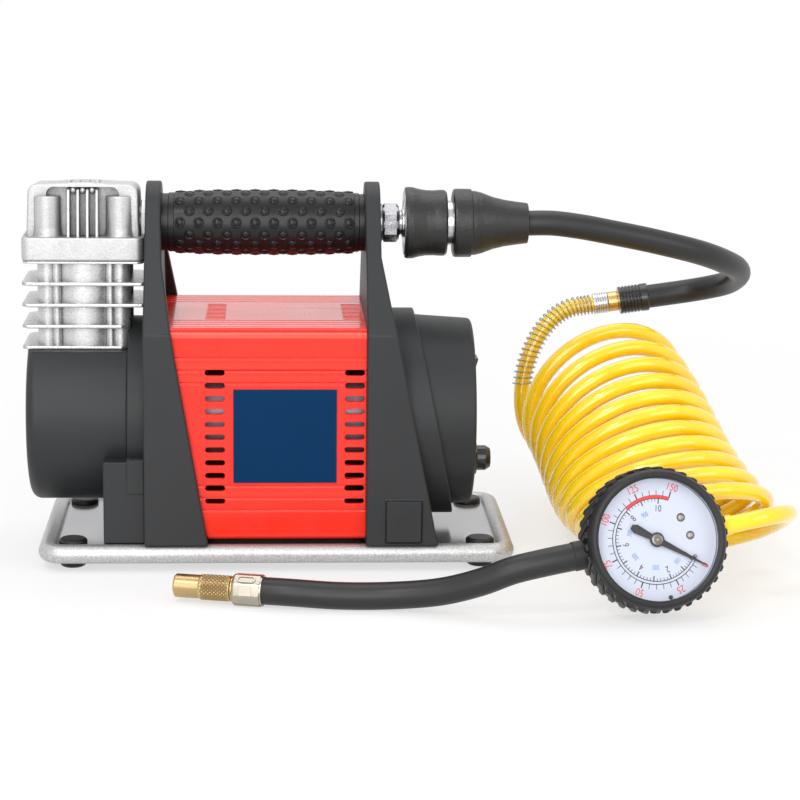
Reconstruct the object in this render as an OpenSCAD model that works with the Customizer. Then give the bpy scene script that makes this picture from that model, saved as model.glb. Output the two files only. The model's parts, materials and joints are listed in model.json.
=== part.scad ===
// Portable tire inflator: an oil-free piston compressor on a tray, with an air
// hose, a coiled extension, a dial gauge and a lock-on valve chuck.
// Right is +X, the front is -Y, the floor is z = 0.

/* [Tray and feet] */
// Length of the tray
plate_l = 235; // [200:1:280]
// Depth of the tray
plate_d = 116; // [100:1:150]
// Corner radius of the tray
plate_r = 12; // [8:0.5:20]
// Thickness of the rolled rim
rim_d = 9.4; // [6:0.1:12]
// Thickness of the tray's sheet
sheet_t = 2; // [1:0.1:3]
// Top of the tray's floor above the ground
tray_z = 11.4; // [10:0.1:16]
// How far the cylinder head stands out past the tray
head_overhang = 10; // [4:1:20]
// Diameter of a rubber foot
foot_d = 13.6; // [10:0.1:20]
// Distance of a foot from the tray's end
foot_in_x = 16.6; // [14:0.1:25]
// Distance of a foot from the tray's side
foot_in_y = 16.6; // [14:0.1:25]

/* [Handle and brackets] */
// Height of the handle's axis
handle_z = 166; // [150:1:190]
// Diameter of the rubber grip
grip_d = 32; // [28:0.5:40]
// Outer diameter of the air tube in the grip
tube_d = 16; // [12:0.5:20]
// Bore of the air tube
tube_bore = 9; // [6:0.5:10]
// Diameter of a bracket's hub
hub_d = 41; // [36:0.5:46]
// Height at which the legs turn in to the hub
shoulder_z = 118.5; // [112:0.5:135]
// Thickness of a leg
leg_t = 5; // [4:0.5:7]
// Thickness of a bracket's web
web_t = 7.5; // [6:0.5:10]
// Width of the left bracket at its foot
left_foot_w = 31.4; // [25:0.1:40]
// Width of the right bracket at its foot
right_foot_w = 34; // [25:0.1:40]

/* [Motor] */
// Height of the motor's axis
shaft_z = 70; // [60:1:80]
// Length of the red cover
cover_l = 101; // [80:1:130]
// Depth of the red cover
cover_d = 104; // [90:1:120]
// Top of the red cover
cover_top = 121; // [110:0.5:130]
// Corner radius of the red cover
cover_r = 3; // [3:1:25]
// Wall of the red cover
cover_t = 2.2; // [1.5:0.1:4]
// Diameter of the motor's can
can_d = 80; // [70:1:90]
// Diameter of the motor's shaft
shaft_d = 8; // [6:0.5:10]
// Outer diameter of the end cap at the bracket
cap_d = 101; // [90:0.2:104]
// Outer diameter of the end cap at its end
cap_end_d = 93.8; // [80:0.2:100]
// Wall of the end cap
cap_t = 2.5; // [2:0.1:4]
// Outer diameter of the shroud
shroud_d = 104.4; // [100:0.2:108]
// Slots in one column of vents
vents = 11; // [6:1:14]
// Distance between two vents
vent_pitch = 6.4; // [5:0.1:9]

/* [Compressor] */
// Diameter of the crankcase
case_d = 89; // [80:1:100]
// Height of the crankcase's deck
deck_z = 105; // [100:0.5:110]
// Bore of the cylinder
bore_d = 32.1; // [28:0.1:40]
// Running gap all round the piston
piston_gap = 0.05; // [0.01:0.01:0.1]
// Throw of the crank
throw = 7; // [5:0.5:9]
// Length of the connecting rod
rod_l = 44; // [40:0.5:50]
// Top of the cylinder
barrel_top = 147.8; // [140:0.1:150]
// Thickness of the valve plate
valve_t = 1.2; // [1:0.1:3]
// Length of the cylinder head
head_l = 60.3; // [50:0.5:70]
// Depth of the cylinder head
head_d = 44; // [36:0.5:52]
// Top of the cylinder head
head_top = 187.4; // [180:0.2:195]
// Height of the head's flange
flange_t = 11.8; // [8:0.2:16]
// Slope of the head's top towards the back, in degrees
crown_fall = 3.7; // [0:0.1:8]
// Thickness of a cooling fin
fin_t = 1.9; // [1:0.1:3]
// Distance between two fins
fin_pitch = 10.6; // [8:0.1:12]

/* [Hoses] */
// Diameter of the black air hose
hose_d = 12.7; // [10:0.1:16]
// Diameter of the coiled hose
coil_d = 8.3; // [6:0.1:10]
// Radius of the coil
coil_r = 44; // [35:0.5:50]
// Turns of the coil, with a part turn at the far end
coil_turns = 11.47; // [6:0.01:14]
// Diameter of the hose to the chuck
whip_d = 13; // [10:0.1:16]
// Outer diameter of the spring guard
guard_d = 11.4; // [10:0.1:14]
// Wire of the spring guard
guard_wire = 1; // [0.8:0.1:1.5]

/* [Gauge and chuck] */
// Outer diameter of the gauge's rubber boot
boot_d = 67; // [60:1:80]
// Depth of the gauge's rubber boot
boot_h = 25; // [20:0.5:35]
// Diameter of the dial
dial_d = 56.6; // [45:0.2:60]
// Diameter of the chuck's knurled collar
collar_d = 12.4; // [10:0.1:16]
// Bore of the chuck that takes a tyre valve
valve_bore = 7.8; // [7.6:0.1:8.2]

/* [Fits] */
// Gap all round a shaft that turns in its bearing
run_gap = 0.03; // [0.01:0.01:0.1]
// Gap all round a sliding sleeve
slide_gap = 0.05; // [0.01:0.01:0.1]
// Gap beside a moving part that touches nothing
free_gap = 0.4; // [0.2:0.1:1]

/* [Hidden] */
$fn = 48;
plate_x = head_overhang / 2;
rim_z = tray_z - sheet_t / 2 - 1.35;
rim_top = rim_z + rim_d / 2;
left_x = -60;
cover_x = left_x + web_t;
right_x = cover_x + cover_l;
out_x = right_x + web_t;
cover_bottom = tray_z + 4.1;
bore_x = -90.6;
pin_z = shaft_z - throw;
piston_d = bore_d - 2 * piston_gap;
piston_top = barrel_top + valve_t - 2.6 - 2 * throw;
piston_h = 30;
crown_t = 4;
fin_z = deck_z + fin_t / 2;
bolt_dx = 17.9;
bolt_dy = 14;
post_r = 5;
screw_r = 2;
neck_d = 22.5;
sleeve_x = out_x + 12.2;
boot_x = out_x + 35.8;
hose_x = out_x + 75.3;
clamp_at = [208.5, 100, 112.4];
clamp_dir = [-0.99, 0, -0.141];
gauge_at = [179.4, -143, 39.5];
gauge_tilt = 17;
gauge_turn = 4.5;
whip_port = 190;
coil_port = 10;
chuck_at = [-1.6, -114.5, 7.6];
chuck_turn = 166;
stem_r = 3.2;
seal_r = 2.3;
pivot_r = 1.07;

// Middle line of the black hose, from the boot to the clamp.
lead_route = [
    [hose_x, 0, handle_z], [144, 0, 166], [159, 1, 164], [174, 3, 161], [190, 6.5, 157.5],
    [204, 10.5, 154], [218, 16.5, 150], [229, 24, 146], [238.5, 34, 141.5], [246, 46, 137],
    [250.5, 59, 132], [251, 72, 127], [248, 83, 122.5], [241, 92, 119], [232, 98, 116.2],
    clamp_at - 13 * clamp_dir, clamp_at
];
// Middle line of the hose between the chuck and the gauge.
whip_route = [
    chuck_at, chuck_at - 13 * [cos(chuck_turn), sin(chuck_turn), 0],
    [34, -120, 6.6], [58, -122, 7.2], [80, -127.5, 10.5], [98, -133, 16.5], [113, -136.4, 23.2],
    port_end(whip_port) + 13 * gauge_dir(whip_port), port_end(whip_port)
];
// The coil's middle line and lean, as the four control values of a curve.
coil_mid = [[207, -72, 26.5], [184, -11, 32], [192, -5, 47], [181, 94, 61]];
coil_back = [28, 41, 52, 66];
coil_side = [6, 14, 25, 39];
coil_start = 10;
guard_curls = 14;

// Cylinder along +X that starts at x.
module bar(x, len, r) {
    translate([x, 0, 0]) rotate([0, 90, 0]) cylinder(h = len, r = r);
}

// Hexagonal bar along +X, af across its flats.
module hex_bar(x, len, af) {
    translate([x, 0, 0]) rotate([0, 90, 0]) cylinder(h = len, r = af / sqrt(3), $fn = 6);
}

// Flat rectangle with round corners, centred.
module rounded(l, w, r) {
    square([l - 2 * r, w], center = true);
    square([l, w - 2 * r], center = true);
    for (sx = [-1, 1], sy = [-1, 1])
        translate([sx * (l / 2 - r), sy * (w / 2 - r)]) circle(r);
}

// Slot with round ends, its long way along X.
module slot(l, w) {
    square([l - w, w], center = true);
    for (s = [-1, 1]) translate([s * (l - w) / 2, 0]) circle(w / 2);
}

module on_motor_axis() {
    translate([0, 0, shaft_z]) children();
}

module on_handle_axis() {
    translate([0, 0, handle_z]) children();
}

module at_feet() {
    for (sx = [-1, 1], sy = [-1, 1])
        translate([plate_x + sx * (plate_l / 2 - foot_in_x), sy * (plate_d / 2 - foot_in_y), 0])
            children();
}

module at_plate_screws() {
    for (x = [left_x + 12, right_x + 14], sy = [-1, 1])
        translate([x, sy * (plate_d / 2 - 14), 0]) children();
}

// ---- Tray -------------------------------------------------------------------

module base_plate() {
    rim_r = rim_d / 2;
    lx = plate_l / 2 - rim_r;
    ly = plate_d / 2 - rim_r;
    bend = plate_r - rim_r;
    color("silver") translate([plate_x, 0, 0]) difference() {
        union() {
            translate([0, 0, tray_z - sheet_t]) linear_extrude(sheet_t)
                rounded(plate_l - rim_d, plate_d - rim_d, bend);
            for (s = [-1, 1]) {
                translate([-lx + bend, s * ly, rim_z]) rotate([0, 90, 0])
                    cylinder(h = 2 * (lx - bend), r = rim_r);
                translate([s * lx, ly - bend, rim_z]) rotate([90, 0, 0])
                    cylinder(h = 2 * (ly - bend), r = rim_r);
            }
            for (q = [[1, 1, 0], [-1, 1, 90], [-1, -1, 180], [1, -1, 270]])
                translate([q[0] * (lx - bend), q[1] * (ly - bend), rim_z])
                    rotate([0, 0, q[2]]) rotate_extrude(angle = 90)
                        translate([bend, 0]) circle(rim_r);
        }
        translate([-plate_x, 0, 0]) {
            at_feet() translate([0, 0, tray_z - 4]) cylinder(h = 8, r = foot_d * 0.31);
            at_plate_screws() translate([0, 0, tray_z - 4]) cylinder(h = 8, r = screw_r + 0.2);
        }
    }
}

module rubber_feet() {
    under = tray_z - sheet_t;
    r = foot_d / 2;
    color([0.1, 0.1, 0.1]) at_feet() rotate_extrude()
        polygon([[0, 1.2], [2.5, 1.2], [2.5, 0], [r - 1.8, 0], [r - 0.6, 0.7], [r, 2.4],
            [r, under], [foot_d * 0.31, under], [foot_d * 0.31, tray_z], [r + 0.3, tray_z],
            [r + 0.3, tray_z + 1.8], [r - 0.9, tray_z + 2.8], [0, tray_z + 2.8]]);
}

module plate_screws() {
    under = tray_z - sheet_t;
    color("silver") at_plate_screws() difference() {
        union() {
            translate([0, 0, under - 2.6]) cylinder(h = 2.6, r = 3.8);
            translate([0, 0, under - 1]) cylinder(h = sheet_t + 3.6, r = screw_r);
        }
        translate([0, 0, under - 2.7]) cylinder(h = 1.6, r = 1.6, $fn = 6);
    }
}

// ---- Brackets and handle ----------------------------------------------------

// Side outline of a bracket, drawn in by inset all round but at the floor.
function touch(y, z, r) = let (
        d = norm([y, handle_z - z]),
        a = atan2(handle_z - z, y) + asin(r / d),
        run = sqrt(d * d - r * r)
    ) [-y + run * cos(a), z + run * sin(a)];

module side_outline(inset) {
    y = plate_d / 2 - 1 - inset;
    z = shoulder_z - inset * 0.4;
    r = hub_d / 2 - inset;
    t = touch(y, z, r);
    polygon([[-y, tray_z - 1], [-y, z], t, [-t[0], t[1]], [y, z], [y, tray_z - 1]]);
    translate([0, handle_z]) circle(r);
}

// Plate standing across the machine: YZ outline, len long from x.
module across(x, len) {
    translate([x, 0, 0]) rotate([90, 0, 90]) linear_extrude(len) children();
}

// Front outline of a bracket, from its straight edge x to its slanting edge.
module slanted(pts) {
    translate([0, plate_d, 0]) rotate([90, 0, 0]) linear_extrude(2 * plate_d) polygon(pts);
}

module bracket_body(x, pts) {
    intersection() {
        slanted(pts);
        union() {
            across(x, web_t) side_outline(0);
            difference() {
                across(x, 40) side_outline(0);
                across(x + web_t, 50) side_outline(leg_t);
            }
            for (s = [-1, 1])
                translate([x, s * (plate_d / 2 - 13) - 8, tray_z]) cube([30, 16, 4.1]);
            on_handle_axis() bar(x, web_t, hub_d / 2);
        }
        union() {
            translate([-200, -plate_d / 2, rim_top]) cube([400, plate_d, 200]);
            translate([-200, rim_d - plate_d / 2, tray_z])
                cube([400, plate_d - 2 * rim_d, 20]);
        }
    }
}

module left_bracket() {
    x = left_x;
    top = [web_t, 8.6, 15.6, left_foot_w];
    color([0.2, 0.2, 0.21]) difference() {
        bracket_body(x, [[x, 0], [x, 190], [x + top[0], 190], [x + top[0], 170],
            [x + top[1], 150], [x + top[2], 104.5], [x + top[3], tray_z], [x + top[3], 0]]);
        on_motor_axis() bar(x - 1, web_t + 2, can_d / 2);
        on_handle_axis() bar(x - 1, web_t + 2, tube_d / 2);
        across(x + web_t, cover_l) cover_outline(0);
        at_plate_screws() cylinder(h = tray_z + 2.6, r = screw_r);
        for (s = [-1, 1]) translate([x - 1, s * 36 - 9, 100]) cube([2.5, 18, 14]);
    }
}

module right_bracket() {
    x = right_x;
    foot = right_foot_w + 2;
    color([0.2, 0.2, 0.21]) difference() {
        union() {
            bracket_body(x, [[x, 0], [x, 190], [x + web_t, 190], [x + web_t, 153],
                [x + foot, tray_z], [x + foot, 0]]);
            for (s = [-1, 1])
                translate([x + 9.5, s * (plate_d / 2 - 1.5) - 1, tray_z + 3.6])
                    cube([18, 2, 21.5]);
        }
        on_motor_axis() bar(x - 1, web_t + 2, can_d / 2);
        on_handle_axis() bar(x - 1, web_t + 2, tube_d / 2);
        on_motor_axis() bar(out_x, 60, shroud_d / 2);
        at_plate_screws() cylinder(h = tray_z + 2.6, r = screw_r);
    }
}

module handle_tube() {
    color("silver") on_handle_axis() difference() {
        bar(left_x - 8, out_x - left_x + 9.5, tube_d / 2);
        bar(left_x - 9, out_x - left_x + 12, tube_bore / 2);
    }
}

module handle_grip() {
    r = grip_d / 2;
    len = right_x - cover_x;
    color([0.08, 0.08, 0.08]) on_handle_axis() difference() {
        union() {
            bar(cover_x, len, r - 1.2);
            bar(cover_x + 5, 3.4, r - 0.4);
            bar(cover_x + 9.4, len - 18.8, r);
            bar(cover_x + len - 8.4, 3.4, r - 0.4);
        }
        bar(cover_x - 1, len + 2, tube_d / 2);
    }
}

// ---- Motor ------------------------------------------------------------------

module cover_outline(inset) {
    z = (cover_top + cover_bottom) / 2;
    translate([0, z]) rounded(cover_d - 2 * inset, cover_top - cover_bottom - 2 * inset,
        cover_r - inset);
}

module motor_cover() {
    vent_z = 35.2;
    top_x = [cover_x + 27, right_x - 6];
    color("red") difference() {
        across(cover_x, cover_l) cover_outline(0);
        across(cover_x - 1, cover_l + 2) cover_outline(cover_t);
        for (x = [cover_x + 27, right_x - 5.8], k = [0 : vents - 1])
            translate([x, 0, vent_z + k * vent_pitch]) rotate([90, 0, 0])
                translate([0, 0, -cover_d]) linear_extrude(2 * cover_d) slot(9.6, 2.7);
        for (x = top_x, k = [0 : 11])
            translate([x, -24 + k * 4, cover_top - 10]) linear_extrude(20) slot(9.6, 1.8);
        for (s = [-1, 1], z = [106.4, 100.2, 94, 42.8, 36.7, 30.5])
            translate([cover_x - 1, s * (cover_d / 2), z]) rotate([0, 90, 0])
                cylinder(h = cover_l + 2, r = 0.6, $fn = 4);
        for (s = [-1, 1], y = [28, 34, 40, 46])
            translate([cover_x - 1, s * y, cover_top]) rotate([0, 90, 0])
                cylinder(h = cover_l + 2, r = 0.6, $fn = 4);
    }
}

module label_plate() {
    color([0.05, 0.2, 0.4]) translate([8.7, -cover_d / 2, 67.8]) rotate([90, 0, 0])
        linear_extrude(0.8) rounded(50.4, 46.5, 1.5);
}

module motor_can() {
    len = out_x + 15 - left_x;
    color("silver") on_motor_axis() difference() {
        union() {
            bar(left_x, len, can_d / 2);
            bar(left_x + len - 6, 8, 14);
        }
        bar(left_x - 1, len - 1.5, can_d / 2 - 2.5);
        bar(left_x + len - 7, 20, 11);
        for (a = [30 : 60 : 330])
            rotate([a, 0, 0]) translate([left_x + len - 5, 0, 27]) rotate([0, 90, 0])
                cylinder(h = 6, r = 6);
    }
}

module motor_magnets() {
    color([0.25, 0.25, 0.28]) on_motor_axis() for (s = [0, 180])
        rotate([s, 0, 0]) translate([left_x + 18, 0, 0]) rotate([0, 90, 0])
            rotate([0, 0, -55]) rotate_extrude(angle = 110)
                translate([can_d / 2 - 8, 0]) square([5.5, out_x - left_x - 22]);
}

module motor_brushes() {
    color([0.3, 0.3, 0.3]) on_motor_axis() for (s = [0, 180])
        rotate([s, 0, 0]) translate([out_x, 12 + free_gap, -3])
            cube([7, can_d / 2 - 14.7 - free_gap, 6]);
}

module ball_bearing(x, len) {
    color("silver") on_motor_axis() difference() {
        bar(x, len, 11);
        bar(x - 1, len + 2, shaft_d / 2 + run_gap);
        for (e = [x - 1, x + len - 0.6])
            translate([e, 0, 0]) rotate([0, 90, 0]) difference() {
                cylinder(h = 1.6, r = 9);
                translate([0, 0, -1]) cylinder(h = 4, r = 6.5);
            }
    }
}

module front_bearing() {
    ball_bearing(left_x - 13, 8);
}

module rear_bearing() {
    ball_bearing(out_x + 10, 7);
}

module motor_rotor() {
    x = left_x + 24;
    len = out_x - 8 - x;
    color([0.7, 0.4, 0.2]) on_motor_axis() difference() {
        union() {
            bar(x, len, can_d / 2 - 10);
            bar(x - 8, 8, can_d / 2 - 18);
            bar(x + len, 6, can_d / 2 - 20);
            bar(x + len + 6, 11, 12);
        }
        bar(x - 10, len + 40, shaft_d / 2);
        for (a = [0 : 30 : 330])
            rotate([a, 0, 0]) translate([x - 1, -1.5, can_d / 2 - 14]) cube([len + 2, 3, 6]);
    }
}

module crankshaft() {
    color("silver") on_motor_axis() {
        difference() {
            union() {
                bar(bore_x + 8, 8, 18);
                bar(bore_x + 10, out_x + 31 - bore_x - 10, shaft_d / 2);
            }
            translate([bore_x + 7, 13, -throw]) rotate([0, 90, 0]) cylinder(h = 10, r = 3);
            translate([bore_x + 7, -13, -throw]) rotate([0, 90, 0]) cylinder(h = 10, r = 3);
        }
        translate([0, 0, -throw]) bar(bore_x - 6, 14, 3.5);
    }
}

module cooling_fan() {
    x = out_x + 23;
    color([0.15, 0.15, 0.15]) on_motor_axis() difference() {
        union() {
            bar(x, 8, 10);
            for (a = [0 : 45 : 315])
                rotate([a, 0, 0]) translate([x + 4, 0, 8]) rotate([0, 0, 35])
                    translate([-1, -5, 0]) cube([2, 10, 33]);
        }
        bar(x - 1, 10, shaft_d / 2);
    }
}

module motor_end_cap() {
    r = cap_d / 2;
    e = cap_end_d / 2;
    x = out_x;
    end = 103;
    color([0.22, 0.22, 0.23]) on_motor_axis() difference() {
        rotate([0, 90, 0]) rotate_extrude() difference() {
            union() {
                polygon([[0, x], [r, x], [e, end - 5], [0, end - 5]]);
                translate([0, end - 5.01]) square([e - 5, 5.01]);
                intersection() {
                    translate([e - 5, end - 5]) circle(5);
                    translate([0, end - 5.01]) square([e, 10]);
                }
            }
            polygon([[-1, x - 1], [r - cap_t, x - 1], [e - cap_t, end - 6],
                [e - cap_t - 3, end - cap_t], [-1, end - cap_t]]);
        }
        translate([end - 10, -7, 8]) cube([20, 14, 22]);
        translate([end - 10, 0, -25]) rotate([0, 90, 0]) cylinder(h = 20, r = 5.5);
        for (a = [-60, -30, 0, 30, 60], s = [0, 180])
            rotate([90 + a + s, 0, 0]) translate([end, 0, 29]) rotate([0, 90, 0])
                rotate([0, 0, 90]) translate([0, 0, -10]) linear_extrude(20)
                    rotate([0, 0, 90]) slot(16, 3);
    }
}

module motor_shroud() {
    color([0.2, 0.2, 0.21]) intersection() {
        on_motor_axis() difference() {
            bar(out_x, 60, shroud_d / 2);
            bar(out_x - 1, 62, max(cap_d, cap_end_d) / 2);
        }
        slanted([[out_x, 0], [97.9, 0], [out_x + 2.3, 200], [out_x, 200]]);
    }
}

module at_switch() {
    translate([103, 0, shaft_z + 19]) children();
}

module on_pivot() {
    at_switch() translate([-2, 0, 0]) rotate([0, 8, 0]) rotate([90, 0, 0]) children();
}

module switch_bezel() {
    color([0.08, 0.08, 0.08]) {
        at_switch() difference() {
            union() {
                translate([0, -9, -13]) cube([1.6, 18, 26]);
                translate([-12, -7, -11]) cube([12.5, 14, 22]);
            }
            translate([-10.5, -6 - free_gap, -10.2])
                cube([20, 12 + 2 * free_gap, 20.4]);
        }
        for (s = [-1, 1])
            on_pivot() translate([0, 0, s * 5.6 - 1.2]) cylinder(h = 2.4, r = pivot_r);
    }
}

module switch_rocker() {
    color([0.75, 0.1, 0.1]) on_pivot() difference() {
        translate([2, 0, -6]) linear_extrude(12) polygon([[2.6, -9.3], [1.2, 0],
            [2.6, 9.3], [-0.5, 9.3], [-5, 5], [-5, -5], [-0.5, -9.3]]);
        translate([0, 0, -7]) cylinder(h = 14, r = pivot_r + run_gap);
    }
}

module cable_gland() {
    color([0.08, 0.08, 0.08]) translate([0, 0, shaft_z - 25]) difference() {
        union() {
            bar(94, 12, 5.5);
            hex_bar(103, 4, 15);
            bar(107, 4.5, 6.4);
            translate([111.5, 0, 0]) rotate([0, 90, 0]) cylinder(h = 2.5, r1 = 6.4, r2 = 4.8);
            hex_bar(97.5, 3, 14);
        }
        bar(90, 30, 3.5);
    }
}

// ---- Compressor -------------------------------------------------------------

module at_bolts() {
    for (sx = [-1, 1], sy = [-1, 1])
        translate([bore_x + sx * bolt_dx, sy * bolt_dy, 0]) children();
}

module crankcase() {
    r = case_d / 2;
    x = -118.2;
    len = left_x - 8.6 - x;
    color([0.2, 0.2, 0.21]) difference() {
        on_motor_axis() {
            bar(x + 5, len - 5, r);
            bar(x, 6, r - 5);
            translate([x + 5, 0, 0]) rotate([0, 90, 0]) rotate_extrude()
                translate([r - 5, 0]) circle(5);
        }
        translate([x - 5, -60, deck_z]) cube([80, 120, 60]);
        intersection() {
            on_motor_axis() bar(x + 4, len, r - 6.5);
            translate([x - 5, -60, 0]) cube([80, 120, deck_z - 5]);
        }
        translate([bore_x, 0, deck_z - 8]) cylinder(h = 20, r = bore_d / 2 + 2);
        at_bolts() translate([0, 0, deck_z - 9]) cylinder(h = 12, r = screw_r + 0.2);
    }
}

module crankcase_flange() {
    x = left_x - 8.6;
    color([0.2, 0.2, 0.21]) difference() {
        union() {
            on_motor_axis() bar(x, 8.6, 48);
            translate([x - 11.5, -52, rim_top]) cube([20.1, 104, 54.7 - rim_top]);
            translate([x - 11.5, rim_d + 0.2 - plate_d / 2, tray_z])
                cube([20.1, plate_d - 2 * rim_d - 0.4, 20]);
        }
        on_motor_axis() bar(x - 60, 60, case_d / 2);
        on_motor_axis() bar(x - 4.4, 8, 11);
        on_motor_axis() bar(x - 20, 40, 7);
        at_bolts() translate([0, 0, deck_z - 2]) cylinder(h = 40, r = post_r + free_gap);
    }
}

module fin(z, right) {
    l = head_l / 2 + 1.5;
    w = head_d / 2;
    translate([bore_x, 0, z - fin_t / 2]) linear_extrude(fin_t)
        polygon([[-l + 1.5, -w + 3], [-l + 4, -w], [right - 3, -w], [right, -w + 3],
            [right, w - 6], [right - 6, w], [-l + 8, w], [-l + 1.5, w - 6]]);
}

module cylinder_barrel() {
    color("silver") difference() {
        union() {
            for (k = [0 : 3])
                fin(fin_z + k * fin_pitch, k < 2 ? left_x - 9 - bore_x : head_l / 2);
            translate([bore_x, 0, deck_z]) cylinder(h = barrel_top - deck_z, r = 20.5);
            translate([bore_x, 0, deck_z - 5]) cylinder(h = 6, r = bore_d / 2 + 2);
            at_bolts() translate([0, 0, deck_z])
                cylinder(h = barrel_top - deck_z, r = post_r);
            for (sx = [-1, 1], sy = [-1, 1])
                translate([bore_x + sx * 13.2, sy * 17.4, deck_z])
                    cylinder(h = barrel_top - deck_z, r = 2.2);
            translate([bore_x - bolt_dx, -13, deck_z])
                cube([2 * bolt_dx, 26, barrel_top - deck_z]);
        }
        translate([bore_x, 0, deck_z - 6]) cylinder(h = 60, r = bore_d / 2);
        at_bolts() translate([0, 0, deck_z - 1]) cylinder(h = 60, r = screw_r + 0.2);
    }
}

module piston() {
    r = piston_d / 2;
    z = piston_top - piston_h;
    color("silver") translate([bore_x, 0, z]) difference() {
        cylinder(h = piston_h, r = r);
        translate([0, 0, -1]) cylinder(h = piston_h - crown_t + 1, r = r - 2.5);
        for (g = [3, 6.5])
            translate([0, 0, piston_h - g - 1.5]) difference() {
                cylinder(h = 1.5, r = r + 1);
                translate([0, 0, -1]) cylinder(h = 4, r = r - 1);
            }
    }
}

module connecting_rod() {
    color([0.6, 0.6, 0.62]) translate([bore_x, 0, pin_z]) difference() {
        union() {
            bar(-4, 8, 7);
            translate([0, 0, rod_l]) bar(-4, 8, 5);
            translate([-2.5, -3.5, 5]) cube([5, 7, rod_l - 8]);
        }
        bar(-5, 10, 3.5 + run_gap);
        translate([0, 0, rod_l]) bar(-5, 10, 2.5);
    }
}

module valve_plate() {
    color([0.6, 0.6, 0.62]) translate([bore_x, 0, barrel_top]) difference() {
        linear_extrude(valve_t) rounded(head_l - 1, head_d - 1, 3.5);
        for (s = [-1, 1]) translate([s * 8, 0, -1]) cylinder(h = 5, r = 2.5);
        translate([-bore_x, 0, 0]) at_bolts() translate([0, 0, -1])
            cylinder(h = 5, r = screw_r + 0.2);
    }
}

// Front outline of the head's cast top, up from its flange: sides that lean
// in, round shoulders and a low crown.
module cast_outline() {
    foot = head_l / 2 - 2.2;
    side = foot - 1.2;
    r = 4.5;
    crown = head_top - barrel_top - valve_t - flange_t;
    z = crown - 0.8;
    polygon([[-foot, -3], [foot, -3], [side, z - r], [side - r, z], [r - side, z],
        [-side, z - r]]);
    for (s = [-1, 1]) translate([s * (side - r), z - r]) circle(r);
    intersection() {
        translate([0, crown - 61]) circle(61, $fn = 120);
        translate([-16, z - 3]) square([32, 6]);
    }
}

module cylinder_head() {
    z = barrel_top + valve_t;
    mid = z + flange_t;
    top = head_top - mid;
    front = -head_d / 2 + 6;
    back = head_d / 2 - 2;
    color([0.85, 0.85, 0.85]) difference() {
        union() {
            translate([bore_x, 0, z]) linear_extrude(flange_t) rounded(head_l, head_d, 4);
            difference() {
                intersection() {
                    translate([bore_x, front, mid]) rotate([90 - crown_fall, 0, 0])
                        translate([0, 0, -50]) linear_extrude(60) cast_outline();
                    translate([bore_x, (front + back) / 2, mid - 1]) linear_extrude(40)
                        rounded(head_l - 4.4, back - front, 4);
                }
                translate([bore_x, front + 5, mid]) rotate([90, 0, 0]) linear_extrude(10) {
                    translate([-bolt_dx, 0]) square([2 * bolt_dx, top - 5.5]);
                    translate([3.8 - bolt_dx, 0]) square([2 * bolt_dx - 7.6, top - 1.7]);
                    for (s = [-1, 1]) translate([s * (bolt_dx - 3.8), top - 5.5]) circle(3.8);
                }
            }
            for (s = [-1, 1])
                translate([bore_x + s * bolt_dx, 1.5 - bolt_dy, mid]) cylinder(h = 19.8, r = 7);
            for (k = [-1.5 : 1 : 1.5]) translate([bore_x + k * 4.65, 0, mid]) {
                translate([-0.6, front, 0]) rotate([-crown_fall, 0, 0])
                    translate([0, 0, 2]) cube([1.2, back - front, top - 1.6]);
                translate([-0.6, back - 3, 0]) cube([1.2, 4, top - 3]);
                across(-0.6, 1.2) polygon([[front - 4.3, 0], [front + 6, 0],
                    [front + 6, top - 1], [front + 0.2, top - 0.2], [front - 0.8, top - 2]]);
            }
        }
        for (s = [-1, 1])
            translate([bore_x + s * 9 - 6.5, -9, z - 1]) cube([13, 20, 24]);
        at_bolts() translate([0, 0, z - 1]) cylinder(h = 25, r = screw_r);
        on_handle_axis() bar(bore_x + 8, 50, tube_bore / 2);
        on_handle_axis() bar(left_x - 8, 50, tube_d / 2);
        on_handle_axis() bar(bore_x + 28, 50, 11.3);
    }
}

// The screws come up from inside the crankcase and end blind in the head.
module head_screws() {
    under = deck_z - 5;
    color([0.3, 0.3, 0.32]) at_bolts() difference() {
        union() {
            translate([0, 0, under - 3.6]) cylinder(h = 3.6, r = 3.4);
            translate([0, 0, under - 1]) cylinder(h = barrel_top + 23 - under, r = screw_r);
        }
        translate([0, 0, under - 4]) cylinder(h = 2.6, r = 1.8, $fn = 6);
    }
}

module air_joint() {
    color("silver") on_handle_axis() difference() {
        hex_bar(bore_x + 28, left_x - bore_x - 28, 19);
        bar(bore_x + 27, 20, tube_d / 2);
    }
}

// ---- Outlet and air hose ----------------------------------------------------

module outlet_nut() {
    x = out_x;
    color("silver") on_handle_axis() difference() {
        union() {
            bar(x, 1.5, 11);
            hex_bar(x + 1.5, 8.3, 17);
        }
        bar(x - 1, 3, tube_d / 2);
        bar(x, 20, 6.5);
    }
}

module coupler_body() {
    x = out_x + 9.8;
    color("silver") on_handle_axis() difference() {
        union() {
            bar(x - 7.8, 10, 6.5);
            bar(x + 1, 23.1, neck_d / 2);
        }
        bar(x - 10, 20, 4);
        bar(x + 9, 20, 6);
    }
}

module coupler_sleeve() {
    color("silver") on_handle_axis() difference() {
        union() {
            bar(sleeve_x, 20.6, 14.5);
            bar(sleeve_x, 0.8, 17.4);
        }
        bar(sleeve_x - 1, 24, neck_d / 2 + slide_gap);
    }
}

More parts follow.
